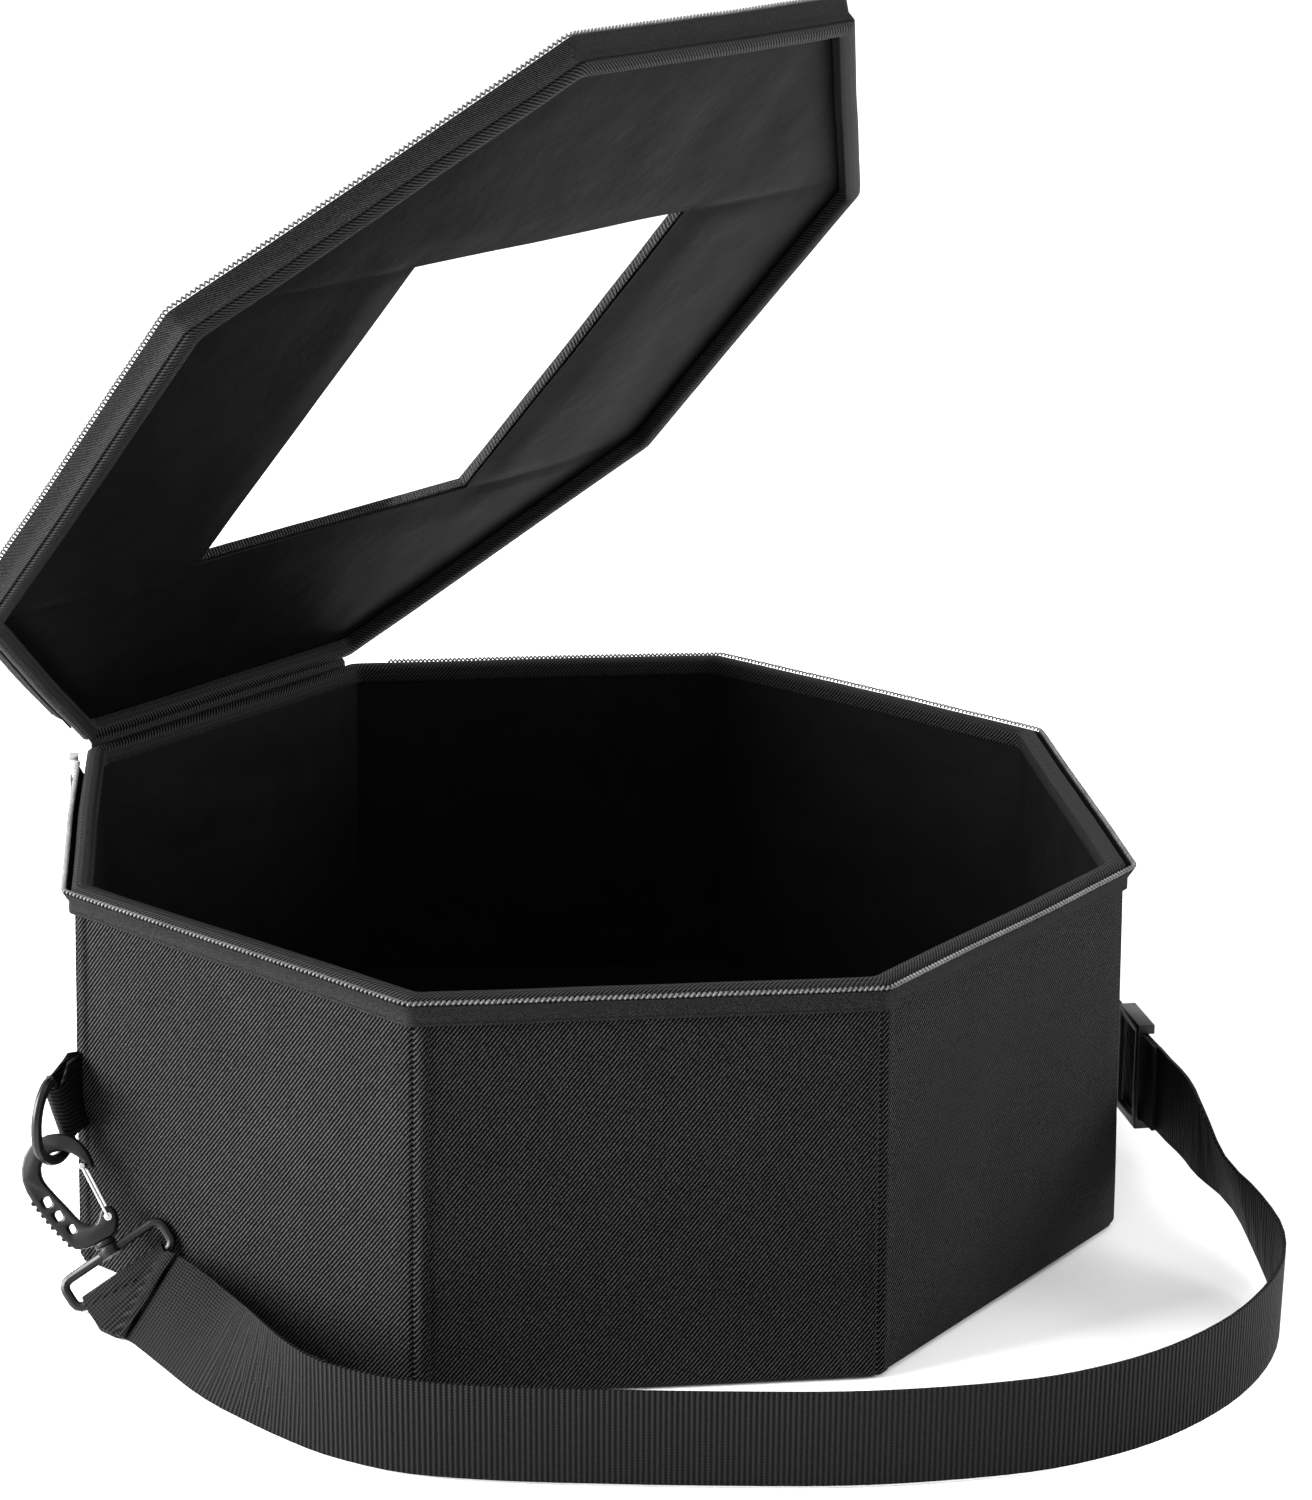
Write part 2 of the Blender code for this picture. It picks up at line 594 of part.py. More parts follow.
# Lid, modelled closed and hung from its hinge empty, which holds it open
def lid_pieces():
    """Panel, window, lining, side band, binding, zipper half and hinge half of the lid."""
    hinge = pivot("lid_hinge", (0, HINGE_Y, HINGE_Z), Matrix())
    top = LID_EDGE + LID_DEPTH
    board_low = top - LID_BOARD
    panel = prism("lid_panel", octagon, 0.0, board_low, top, "outer_cloth", hinge)
    rounding = panel.modifiers.new("rounding", "BEVEL")
    rounding.limit_method = "ANGLE"
    rounding.angle_limit = math.radians(60)
    rounding.width = LID_EDGE_ROUND
    rounding.segments = 2
    opening = (WINDOW_WIDTH, WINDOW_LENGTH, LID_DEPTH * 3)
    shape_by(panel, box("lid_panel_opening", opening, (0, 0, top), "outer_cloth", parent=hinge),
             "DIFFERENCE")
    film_top = board_low - GAP
    film_size = (WINDOW_WIDTH + 2 * WINDOW_HEM, WINDOW_LENGTH + 2 * WINDOW_HEM, WINDOW_FILM)
    box("lid_window", film_size, (0, 0, film_top - WINDOW_FILM / 2), "clear_film", parent=hinge)
    lining_top = film_top - WINDOW_FILM - GAP
    face = LID_SIDE + GAP
    lining = prism("lid_lining", round_outline, face, lining_top - LINING, lining_top, "lining_cloth", hinge)
    shape_by(lining, box("lid_lining_opening", opening, (0, 0, top), "lining_cloth", parent=hinge),
             "DIFFERENCE")
    low = LID_EDGE + BINDING_CROWN + GAP
    high = board_low - GAP
    band = [(0.0, low), (0.0, high), (LID_SIDE, high), (LID_SIDE, low)]
    sweep("lid_side_band", band, round_outline, "outer_cloth", parent=hinge)
    cover_high = lining_top - LINING - GAP
    cover = [(face, low), (face, cover_high), (LINED_WALL, cover_high), (LINED_WALL, low)]
    sweep("lid_band_lining", cover, round_outline, "lining_cloth", parent=hinge)
    edge_tape = folded_tape(LID_EDGE, 1, LID_BINDING_REACH)
    sweep("lid_binding", edge_tape, round_outline, "ribbed_tape", parent=hinge)
    start = LID_EDGE + LID_TAPE_START
    end = LID_EDGE + LID_TAPE_END
    tape = flat_tape(start, LID_EDGE + LID_BINDING_REACH, end, LID_TAPE_FLARE)
    sweep("lid_zipper_tape", tape, zipper_line, "zip_tape", is_open=True, parent=hinge)
    sweep("lid_zipper_coil", coil(end, LID_TAPE_FLARE, 1), zipper_line, "zip_coil", is_open=True,
          parent=hinge)
    hinge_strip("hinge_strip_lid", LID_EDGE, LID_EDGE + HINGE_REACH, hinge)
    hinge.rotation_euler.x = -LID_OPEN


# Zipper slider and its pull
def circle(middle, radius):
    """A round hole in a plate, at a distance along it."""
    return [(radius * math.cos(math.radians(a)), middle + radius * math.sin(math.radians(a)))
            for a in range(0, 360, 30)]


def slider_and_pull():
    """The slider parked at the zipper's left end, with a bail that the pull tab swings on."""
    corners = octagon(-TAPE_IN - TAPE_FLARE - TAPE / 2, RIM_HEIGHT)
    along = (corners[0] - corners[7]).normalized()
    out = outward(ZIP_FIRST_SIDE)
    slant = COIL_WIDTH / 2 * math.tan(math.pi / 8)
    middle = corners[7] + along * (ZIP_SETBACK - slant - GAP - SLIDER_LENGTH / 2) + out * SLIDER_OUT
    frame = Matrix((along, -out, Vector((0, 0, 1)))).transposed().to_4x4()
    place = Matrix.Translation((middle.x, middle.y, RIM_HEIGHT - GAP)) @ frame
    slider = box("zipper_slider", (SLIDER_LENGTH, SLIDER_HEIGHT, SLIDER_WIDTH),
                 (0, 0, -SLIDER_WIDTH / 2), "bright_metal", place)
    drop = -SLIDER_WIDTH - BAIL_DROP
    half = BAIL_SPAN / 2
    bail_points = [(-half, 0, -SLIDER_WIDTH / 2), (-half, 0, drop), (half, 0, drop),
                   (half, 0, -SLIDER_WIDTH / 2)]
    bail = wire("zipper_slider_bail", bail_points, BAIL_WIRE, "bright_metal", place)
    shape_by(slider, bail, "UNION")
    swing = pivot("pull_swing", place @ Vector((0, 0, drop)), frame)
    radius = PULL_WIDTH / 2
    straight = PULL_LENGTH - PULL_WIDTH
    outline = []
    for degrees in range(15, 360, 30):
        turn = math.radians(degrees)
        shift = 0.0 if math.sin(turn) > 0 else -straight
        outline.append((radius * math.cos(turn), radius * math.sin(turn) + shift))
    eye = circle(0.0, BAIL_WIRE / 2 + 2 * GAP)
    hole = circle(-straight, PULL_HOLE / 2)
    upright = Matrix(((0, 0, 1, 0), (1, 0, 0, 0), (0, 1, 0, 0), (0, 0, 0, 1)))
    plate("zipper_pull_tab", [outline, eye, hole], PULL_THICKNESS, "bright_metal",
          swing.matrix_world @ upright, parent=swing)


# D-rings, their tabs and the snap hooks
def compass(degrees):
    """Level unit vector at an azimuth."""
    return Vector((math.cos(math.radians(degrees)), math.sin(math.radians(degrees)), 0.0))


def ring_frame(side):
    """Matrix of a D-ring: X is its reach, Y its straight bar, at the bar's middle."""
    settings = SIDES[side]
    corner = octagon(0.0, RING_MIDDLE)[settings["corner"]]
    middle = corner + compass(settings["tab"]) * RING_STANDOFF
    reach = compass(settings["ring"]) * math.cos(RING_DROOP) - Vector((0, 0, math.sin(RING_DROOP)))
    normal = compass(settings["ring"] - 90)
    bar = normal.cross(reach)
    turn = Matrix((reach, bar, normal)).transposed()
    return Matrix.Translation(middle) @ turn.to_4x4()


def ring_line():
    """Middle line of a D-ring's wire."""
    reach = RING_REACH - RING_WIRE
    half = (RING_HEIGHT - RING_WIRE) / 2
    upper = [(x * reach, y * half, 0) for x, y in RING_SHAPE]
    lower = [(x, -y, 0) for x, y, z in reversed(upper)]
    return smooth_through([*upper, (reach, 0, 0), *lower], 3, cyclic=True)


def ring_and_tab(side):
    """A D-ring, and the webbing tab that is sewn into the corner seam and folded round its bar."""
    frame = ring_frame(side)
    wire("d_ring_" + side, ring_line(), RING_WIRE, "black_plastic", frame, cyclic=True)
    bar = frame.to_3x3() @ Vector((0, 1, 0))
    out = compass(SIDES[side]["tab"])
    out = (out - bar * out.dot(bar)).normalized()
    across = bar.cross(out)
    wrap = RING_WIRE / 2 + GAP + TAB_WEBBING / 2
    close = TAB_WEBBING / 2 + LAYER_GAP
    upright = Vector((0, 0, 1))
    near_seam = []
    for share, stand, turn in TAB_STATIONS:
        point = out * -share * RING_STANDOFF + across * (close + (wrap - close) * stand)
        near_seam.append((point, upright.lerp(bar, turn).normalized()))
    fold = [(across * wrap * math.cos(math.radians(a)) + out * wrap * math.sin(math.radians(a)), bar)
            for a in range(0, 181, 30)]
    back = [(point - across * 2 * point.dot(across), width) for point, width in reversed(near_seam)]
    stations = [(frame.translation + point, width) for point, width in (*near_seam, *fold, *back)]
    ribbon("strap_tab_" + side, stations, TAB_HEIGHT, TAB_WEBBING, "webbing")


def hook_frame(side):
    """Matrix of a snap hook: X across to its gate, Y along it, Z out of its plane."""
    settings = SIDES[side]
    elevation = math.radians(settings["elevation"])
    normal = compass(settings["azimuth"]) * math.cos(elevation) + Vector((0, 0, math.sin(elevation)))
    right = compass(settings["azimuth"] + 90)
    up = normal.cross(right)
    lean = math.radians(settings["lean"])
    across = right * math.cos(lean) + up * math.sin(lean)
    turn = Matrix((across, normal.cross(across), normal)).transposed()
    reach, height = RING_SHAPE[SEAT_STATION]
    seat = ring_frame(side) @ Vector((reach * (RING_REACH - RING_WIRE),
                                      -height * (RING_HEIGHT - RING_WIRE) / 2, 0))
    origin = seat - turn @ Vector(settings["mouth"])
    return Matrix.Translation(origin) @ turn.to_4x4()


def loop_frame(side):
    """Matrix of the strap loop, which leans a little on its swivel."""
    swivel = Matrix.Translation((0, HOOK_FOOT - GAP - COLLAR_LENGTH - SWIVEL_GAP / 2, 0))
    lean = Matrix.Rotation(math.radians(SIDES[side]["loop_lean"]), 4, "Z")
    return hook_frame(side) @ swivel @ lean @ swivel.inverted()


def strap_bar(side):
    """Middle of the loop's far bar, and the bar's direction towards its upper end."""
    frame = loop_frame(side)
    middle = frame @ Vector((0, LOOP_BAR - LOOP_LENGTH + LOOP_WIRE, 0))
    return middle, frame.to_3x3() @ Vector((SIDES[side]["upper"], 0, 0))


def rounded_hole(across, along, half_width, half_length):
    """An oval hole with square shoulders."""
    points = []
    for degrees in range(0, 360, 30):
        c = math.cos(math.radians(degrees))
        s = math.sin(math.radians(degrees))
        points.append((across + half_width * math.copysign(abs(c) ** 0.6, c),
                       along + half_length * math.copysign(abs(s) ** 0.6, s)))
    return points


def cylinder(name, radius, low, high, finish, matrix):
    """A cylinder along its local Y axis."""
    bm = bmesh.new()
    bmesh.ops.create_cone(bm, cap_ends=True, segments=16, radius1=radius, radius2=radius,
                          depth=high - low)
    lay = Matrix.Translation((0, (low + high) / 2, 0)) @ Matrix.Rotation(math.pi / 2, 4, "X")
    bmesh.ops.transform(bm, matrix=matrix @ lay, verts=bm.verts)
    return add_mesh(name, bm, finish, smooth_angle=40)


def loop_line():
    """Middle line of the strap loop: a rectangle with round corners, below the swivel."""
    half = (LOOP_WIDTH - LOOP_WIRE) / 2 - LOOP_ROUND
    top = LOOP_BAR - LOOP_ROUND
    low = LOOP_BAR - LOOP_LENGTH + LOOP_WIRE + LOOP_ROUND
    points = []
    for centre_x, centre_y, first in ((half, top, 0), (-half, top, 90), (-half, low, 180), (half, low, 270)):
        for degrees in range(first, first + 91, 30):
            turn = math.radians(degrees)
            x = centre_x + LOOP_ROUND * math.cos(turn)
            y = centre_y + LOOP_ROUND * math.sin(turn)
            points.append((x, y, 0))
    return points


def snap_hook(side):
    """Hook body, swivel collar, strap loop and sprung wire gate."""
    frame = hook_frame(side)
    outline = [point.to_tuple() for point in smooth_through(HOOK_OUTLINE, 2, cyclic=True)]
    holes = [rounded_hole(*slot) for slot in HOOK_SLOTS]
    plate("hook_" + side, [outline, *holes], HOOK_THICKNESS, "black_plastic", frame, HOOK_ROUND)
    collar_top = HOOK_FOOT - GAP
    collar_low = collar_top - COLLAR_LENGTH
    cylinder("hook_collar_" + side, COLLAR_RADIUS, collar_low, collar_top, "black_plastic", frame)
    turned = loop_frame(side)
    loop = wire("hook_loop_" + side, loop_line(), LOOP_WIRE, "black_plastic", turned, cyclic=True)
    barrel_top = collar_low - SWIVEL_GAP
    barrel = cylinder("hook_barrel_" + side, COLLAR_RADIUS, barrel_top - BARREL_LENGTH, barrel_top,
                      "black_plastic", turned)
    shape_by(loop, barrel, "UNION")
    foot_x, foot_y = GATE_FOOT
    tip_x, tip_y = GATE_TIP
    swing = pivot("gate_swing_" + side, frame @ Vector((foot_x, foot_y, 0)), frame.to_3x3().to_4x4())
    turn = GATE_WIRE
    gate = [(foot_x, foot_y, GATE_LEG), (tip_x, tip_y - turn, GATE_LEG), (tip_x, tip_y, GATE_LEG - turn),
            (tip_x, tip_y, turn - GATE_LEG), (tip_x, tip_y - turn, -GATE_LEG), (foot_x, foot_y, -GATE_LEG)]
    wire("hook_gate_" + side, gate, GATE_WIRE, "bright_metal", frame, parent=swing)


# Shoulder strap
def lean_direction(lean, azimuth):
    """Direction of the webbing's width: upright, then leaned towards an azimuth."""
    angle = math.radians(lean)
    return compass(azimuth) * math.sin(angle) + Vector((0, 0, math.cos(angle)))


def strap_track():
    """The strap's middle line and width directions between its bars, as fine samples."""
    left, left_width = strap_bar("left")
    right, right_width = strap_bar("right")
    places = []
    for share, off_x, off_y, height, _, _ in STRAP_ROUTE:
        straight = left.lerp(right, share)
        places.append(Vector((straight.x + off_x, straight.y + off_y, height)))
    widths = [lean_direction(lean, azimuth) for *_, lean, azimuth in STRAP_ROUTE]
    leave = places[0] - left
    leave = (leave - left_width * leave.dot(left_width)).normalized()
    arrive = right - places[-1]
    arrive = (arrive - right_width * arrive.dot(right_width)).normalized()
    leads = (1, 2)
    places = [left, *(left + leave * LEAD * i for i in leads), *places,
              *(right - arrive * LEAD * i for i in reversed(leads)), right]
    widths = [left_width] * 3 + widths + [right_width] * 3
    return smooth_through(places, 6), smooth_through(widths, 6)


class Track:
    """Looks up the strap's middle, normal and width by the distance from its left bar."""

    def __init__(self):
        self.places, self.widths = strap_track()
        self.marks = [0.0]
        for here, there in zip(self.places, self.places[1:]):
            self.marks.append(self.marks[-1] + (there - here).length)
        self.length = self.marks[-1]

    def look(self, distance):
        """Middle and width direction at a distance."""
        index = 0
        while index < len(self.marks) - 2 and self.marks[index + 1] < distance:
            index += 1
        share = (distance - self.marks[index]) / (self.marks[index + 1] - self.marks[index])
        middle = self.places[index].lerp(self.places[index + 1], share)
        return middle, self.widths[index].lerp(self.widths[index + 1], share)

    def frame(self, distance):
        """Middle, direction along, outward normal and width direction at a distance."""
        step = 0.001
        ahead, _ = self.look(min(self.length, distance + step))
        behind, _ = self.look(max(0.0, distance - step))
        along = (ahead - behind).normalized()
        middle, width = self.look(distance)
        width = (width - along * width.dot(along)).normalized()
        normal = along.cross(width)
        floor = 2 * GAP + abs(width.z) * STRAP_WIDTH / 2 + abs(normal.z) * (LAYER + STRAP / 2)
        middle.z = max(middle.z, floor)
        return middle, along, normal, width


def spread(distance, reach):
    """How far a layer stands off the middle line, near a bar with a second layer that long."""
    if distance < FOLD_MERGE:
        return BAR_WRAP + (LAYER - BAR_WRAP) * smoothstep(distance / FOLD_MERGE)
    return LAYER * (1 - smoothstep((distance - reach) / FOLD_MERGE))


def strap():
    """Webbing from the sewn fold at the left loop, over the floor, to the tail past the adjuster."""
    track = Track()

    def layer(start, stop, step, offset_of):
        """Stations of one layer, its offset from the middle line given by the distance."""
        count = max(1, round(abs(stop - start) / step))
        result = []
        for i in range(count + 1):
            distance = start + (stop - start) * i / count
            middle, _, normal, width = track.frame(distance)
            result.append((middle + normal * offset_of(distance), width))
        return result

    def turn_round(distance, way):
        """Half turn round a bar, from the outer side to the other when way is 1."""
        middle, along, normal, width = track.frame(distance)
        return [(middle + BAR_WRAP * (normal * math.cos(math.radians(a))
                                      + along * way * math.sin(math.radians(a))), width)
                for a in range(30, 151, 30)]

    def left_spread(distance):
        return spread(distance, FOLD_LENGTH)

    def right_spread(distance):
        return spread(track.length - distance, TAIL_LENGTH)

    near_left = FOLD_LENGTH + FOLD_MERGE
    near_right = track.length - TAIL_LENGTH - FOLD_MERGE
    tail_end = track.length - TAIL_LENGTH
    stations = layer(FOLD_LENGTH, 0.0, STATION_FINE, left_spread)
    stations += turn_round(0.0, -1)
    stations += layer(0.0, near_left, STATION_FINE, lambda distance: -left_spread(distance))
    stations += layer(near_left, near_right, STATION, lambda distance: 0.0)[1:-1]
    stations += layer(near_right, track.length, STATION_FINE, right_spread)
    stations += turn_round(track.length, 1)
    stations += layer(track.length, tail_end, STATION_FINE, lambda distance: -right_spread(distance))
    ribbon("shoulder_strap", stations, STRAP_WIDTH, STRAP, "webbing")
    adjuster(track)


def adjuster(track):
    """Three-bar slide: two outer bars on the tail's side and a middle bar on the other side."""
    middle, along, normal, width = track.frame(track.length - ADJUSTER_PLACE)
    turn = Matrix((along, width, normal)).transposed()
    frame = Matrix.Translation(middle) @ turn.to_4x4()
    bar_offset = LAYER + STRAP / 2 + 2 * GAP + ADJUSTER_BAR_DEPTH / 2
    rail_depth = 2 * bar_offset + ADJUSTER_BAR_DEPTH
    rail = (ADJUSTER_WIDTH - STRAP_WIDTH) / 2 - 2 * GAP
    along_marks = [-ADJUSTER_LENGTH / 2, ADJUSTER_BAR - ADJUSTER_LENGTH / 2, -ADJUSTER_BAR / 2,
                   ADJUSTER_BAR / 2, ADJUSTER_LENGTH / 2 - ADJUSTER_BAR, ADJUSTER_LENGTH / 2]
    across_marks = [-ADJUSTER_WIDTH / 2, rail - ADJUSTER_WIDTH / 2, ADJUSTER_WIDTH / 2 - rail,
                    ADJUSTER_WIDTH / 2]
    depth_marks = [-rail_depth / 2, ADJUSTER_BAR_DEPTH - rail_depth / 2,
                   rail_depth / 2 - ADJUSTER_BAR_DEPTH, rail_depth / 2]

    def is_solid(i, j, k):
        return j != 1 or (i in (0, 4) and k == 0) or (i == 2 and k == 2)

    cells("strap_adjuster", (along_marks, across_marks, depth_marks), is_solid, "black_plastic", frame)


body_shell()
body_zipper()
lid_pieces()
slider_and_pull()
for box_side in SIDES:
    ring_and_tab(box_side)
    snap_hook(box_side)
strap()
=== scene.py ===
"""Looks of the octagonal zip-up hat box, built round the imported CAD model."""
import bpy
import bmesh
import math
from mathutils import Matrix, Vector, noise


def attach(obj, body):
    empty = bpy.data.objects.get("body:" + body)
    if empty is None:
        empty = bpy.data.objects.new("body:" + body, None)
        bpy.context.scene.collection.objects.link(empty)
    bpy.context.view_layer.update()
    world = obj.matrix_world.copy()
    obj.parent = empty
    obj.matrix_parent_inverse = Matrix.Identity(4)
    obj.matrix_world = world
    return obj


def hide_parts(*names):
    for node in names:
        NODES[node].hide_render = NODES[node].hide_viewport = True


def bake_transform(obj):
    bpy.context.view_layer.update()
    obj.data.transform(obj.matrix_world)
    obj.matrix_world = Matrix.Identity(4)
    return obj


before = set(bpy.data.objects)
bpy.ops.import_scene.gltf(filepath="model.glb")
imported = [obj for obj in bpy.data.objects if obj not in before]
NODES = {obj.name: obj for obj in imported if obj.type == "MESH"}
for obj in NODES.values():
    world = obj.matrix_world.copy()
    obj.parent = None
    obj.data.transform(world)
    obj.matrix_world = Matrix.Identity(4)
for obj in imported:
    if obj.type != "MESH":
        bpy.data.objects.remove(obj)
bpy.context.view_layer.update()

# Sizes repeated from part.py, in metres
GAP = 0.0003
RIM_WIDTH = 0.430
RIM_DEPTH = 0.442
CORNER_CUT = 0.128
RIM_HEIGHT = 0.1685
FOOT_FLARE = 0.004
CORNER_RADIUS = 0.006
WALL = 0.0045
LINING = 0.0008
BASE = 0.005
FOOT_ROUND = 0.0035
BINDING = 0.0009
BINDING_REACH = 0.0085
BINDING_CROWN = 0.0020
LID_DEPTH = 0.0150
LID_BOARD = 0.0050
LID_SIDE = 0.0028
LID_EDGE_ROUND = 0.0030
LID_BINDING_REACH = 0.0072
LID_OPEN = math.radians(48.4)
WINDOW_WIDTH = 0.177
WINDOW_LENGTH = 0.196
WINDOW_FILM = 0.0006
HINGE_STRIP = 0.0008
HINGE_REACH = 0.0125
HINGE_END = 0.004
TAPE = 0.0008
TAPE_LOW = 0.0115
TAPE_BEND = 0.0070
TAPE_TOP = 0.0025
TAPE_FLARE = 0.0027
LID_TAPE_START = 0.0030
LID_TAPE_END = 0.0125
LID_TAPE_FLARE = 0.0026
COIL_WIDTH = 0.0026
COIL_HEIGHT = 0.0020
ZIP_SETBACK = 0.020
WALL_TOP = RIM_HEIGHT - BINDING_CROWN - GAP
LINED_WALL = WALL + GAP + LINING
HINGE_OUT = BINDING + 2 * GAP + HINGE_STRIP
HINGE_Y = RIM_DEPTH / 2 + HINGE_OUT + GAP
HINGE_Z = RIM_HEIGHT + GAP
LID_EDGE = HINGE_Z + GAP
TAPE_IN = BINDING + 2 * GAP
LID_TOP = LID_EDGE + LID_DEPTH

# Values of the scene alone, lengths in metres
DRIFT_BROAD = 0.0007
DRIFT_FINE = 0.00018
SEAM_ROUND = 0.0030           # deeper than in the solids
FOLD_START = 0.0029           # the folded strip beside a seam starts and ends here
FOLD_END = 0.0062
FOLD_RISE = 0.0008
PAD_SWELL = 0.0008
PAD_LUMPS = 0.0006
LEAST_WALL = 0.0009
CALM_FOOT = 0.03              # up to this height the unevenness fades in
SATIN_SLACK = 0.0012
SATIN_LUMPS = 0.0011
SATIN_CREASES = 0.0012
FLOOR_SLACK = 0.0012
FLOOR_LUMPS = 0.0010
FLOOR_CREASES = 0.0014
BOARD_TURN = 0.002            # width of the floor board's rounded edge
BOARD_DIP = 0.0004
BOARD_CUT = 0.0012
PANEL_LUMPS = 0.0007
SAG = 0.0016                  # of the lid's lining, with its lumps and creases
SAG_LUMPS = 0.0012
SAG_CREASES = 0.0014
SEAM_HOLD = 0.0060            # from a sewn line to where the lining sags freely
SEAM_GRIP = 0.85              # how much of the sag a sewn line takes away
HEM_DIP = 0.0012
HEM_CALM = 0.02               # from the window's hem to where the panel is free to swell
LINING_CALM = 0.018
HEM_LINE = 0.0016             # from the window's edge or a sewn line to its fold
EDGE_CALM = 0.03              # from an edge to where a panel is free to swell
STITCH_PITCH = 0.003
STITCH_RADIUS = 0.00028
STITCH_SET = 0.0014           # from the edge of a binding to its stitches
ZIP_STITCH_SET = 0.0012
WINDOW_STITCH_SET = 0.0030
COIL_PITCH = 0.0021
COIL_WIRE = 0.00048
FILM_SHARE = 0.06             # how much of the film is seen at all

HINGE = Matrix.Translation((0, HINGE_Y, HINGE_Z))
OPEN_LID = HINGE @ Matrix.Rotation(-LID_OPEN, 4, "X") @ HINGE.inverted()


# Materials
class Finish:
    """A node material under construction."""

    def __init__(self, name):
        self.made = bpy.data.materials.new(name)
        self.made.use_nodes = True
        self.tree = self.made.node_tree
        self.shader = self.tree.nodes["Principled BSDF"]

    def node(self, kind, **values):
        made = self.tree.nodes.new(kind)
        for key, value in values.items():
            setattr(made, key, value)
        return made

    def join(self, source, target):
        if isinstance(source, (int, float)):
            target.default_value = source
        else:
            self.tree.links.new(source, target)

    def sum(self, operation, first, second=0.0):
        made = self.node("ShaderNodeMath", operation=operation)
        self.join(first, made.inputs[0])
        self.join(second, made.inputs[1])
        return made.outputs[0]

    def place(self):
        """Distances along and across the cloth, from its UV map, in metres."""
        split = self.node("ShaderNodeSeparateXYZ")
        self.join(self.node("ShaderNodeUVMap").outputs["UV"], split.inputs[0])
        return split.outputs["X"], split.outputs["Y"]

    def ribs(self, distance, pitch):
        """Waves from 0 to 1 along a distance."""
        wave = self.sum("SINE", self.sum("MULTIPLY", distance, 2 * math.pi / pitch))
        return self.sum("ADD", self.sum("MULTIPLY", wave, 0.5), 0.5)

    def grain(self, scale, detail=2.0, roughness=0.6, socket=None):
        made = self.node("ShaderNodeTexNoise")
        made.inputs["Scale"].default_value = scale
        made.inputs["Detail"].default_value = detail
        made.inputs["Roughness"].default_value = roughness
        where = self.node("ShaderNodeTexCoord").outputs["Object"] if socket is None else socket
        self.join(where, made.inputs["Vector"])
        return made.outputs["Fac"]

    def ramp(self, amount, stops):
        made = self.node("ShaderNodeValToRGB")
        while len(made.color_ramp.elements) < len(stops):
            made.color_ramp.elements.new(0.5)
        for element, (position, colour) in zip(made.color_ramp.elements, stops):
            element.position = position
            element.color = (*colour, 1.0)
        self.join(amount, made.inputs[0])
        return made.outputs["Color"]

    def range(self, amount, low, high):
        made = self.node("ShaderNodeMapRange")
        self.join(amount, made.inputs["Value"])
        made.inputs["To Min"].default_value = low
        made.inputs["To Max"].default_value = high
        return made.outputs["Result"]

    def bump(self, height, depth, strength=1.0, under=None):
        made = self.node("ShaderNodeBump")
        made.inputs["Strength"].default_value = strength
        made.inputs["Distance"].default_value = depth
        self.join(height, made.inputs["Height"])
        if under is not None:
            self.join(under, made.inputs["Normal"])
        return made.outputs["Normal"]

    def finish(self, colour, roughness, normal=None, **flat):
        self.join(colour, self.shader.inputs["Base Color"])
        self.join(roughness, self.shader.inputs["Roughness"])
        if normal is not None:
            self.join(normal, self.shader.inputs["Normal"])
        for key, value in flat.items():
            self.shader.inputs[key.replace("_", " ")].default_value = value
        return self.made


def grey(level):
    return (level, level, level * 1.03)


def twill(name, dark, mid, light, pitch, depth, roughness):
    """Charcoal twill with pale flecks in its yarn."""
    f = Finish(name)
    u, v = f.place()
    lines = f.ribs(f.sum("SUBTRACT", u, f.sum("MULTIPLY", v, 0.8)), pitch)
    threads = f.ribs(f.sum("ADD", u, v), pitch * 0.62)
    weave = f.sum("MULTIPLY", lines, f.range(threads, 0.55, 1.0))
    flecks = f.grain(1500.0, 3.0, 0.75)
    soft = f.grain(38.0, 3.0, 0.5)
    mixed = f.sum("ADD", f.sum("MULTIPLY", weave, 0.42), f.sum("MULTIPLY", flecks, 0.58))
    mixed = f.sum("ADD", mixed, f.range(soft, -0.02, 0.02))
    colour = f.ramp(mixed, [(0.34, grey(dark)), (0.48, grey(mid)), (0.66, grey(light))])
    normal = f.bump(weave, depth, 0.7, f.bump(flecks, depth * 0.8, 0.5))
    return f.finish(colour, f.range(flecks, roughness - 0.1, roughness + 0.1), normal,
                    Specular_IOR_Level=0.03)


def ribbed(name, dark, light, pitch, depth, slant, cross, roughness):
    """Tape or webbing with ribs across its width, their tops painted lighter and their grooves
    darker: painted highlight and shade.
    """
    f = Finish(name)
    u, v = f.place()
    ribs = f.ribs(f.sum("ADD", u, f.sum("MULTIPLY", v, slant)), pitch)
    fine = f.ribs(v, cross)
    height = f.sum("ADD", f.sum("MULTIPLY", ribs, 0.8), f.sum("MULTIPLY", fine, 0.2))
    fuzz = f.grain(900.0, 2.0)
    # Painted highlight and shade: the rib relief sets the colour, lighter on rib tops and darker in
    # the grooves, with random fibre tone from the fuzz.
    shade = f.sum("ADD", height, f.range(fuzz, -0.25, 0.25))
    colour = f.ramp(shade, [(0.25, grey(dark)), (0.70, grey(light))])
    normal = f.bump(height, depth, 0.9)
    return f.finish(colour, f.range(fuzz, roughness - 0.1, roughness + 0.1), normal,
                    Specular_IOR_Level=0.06)


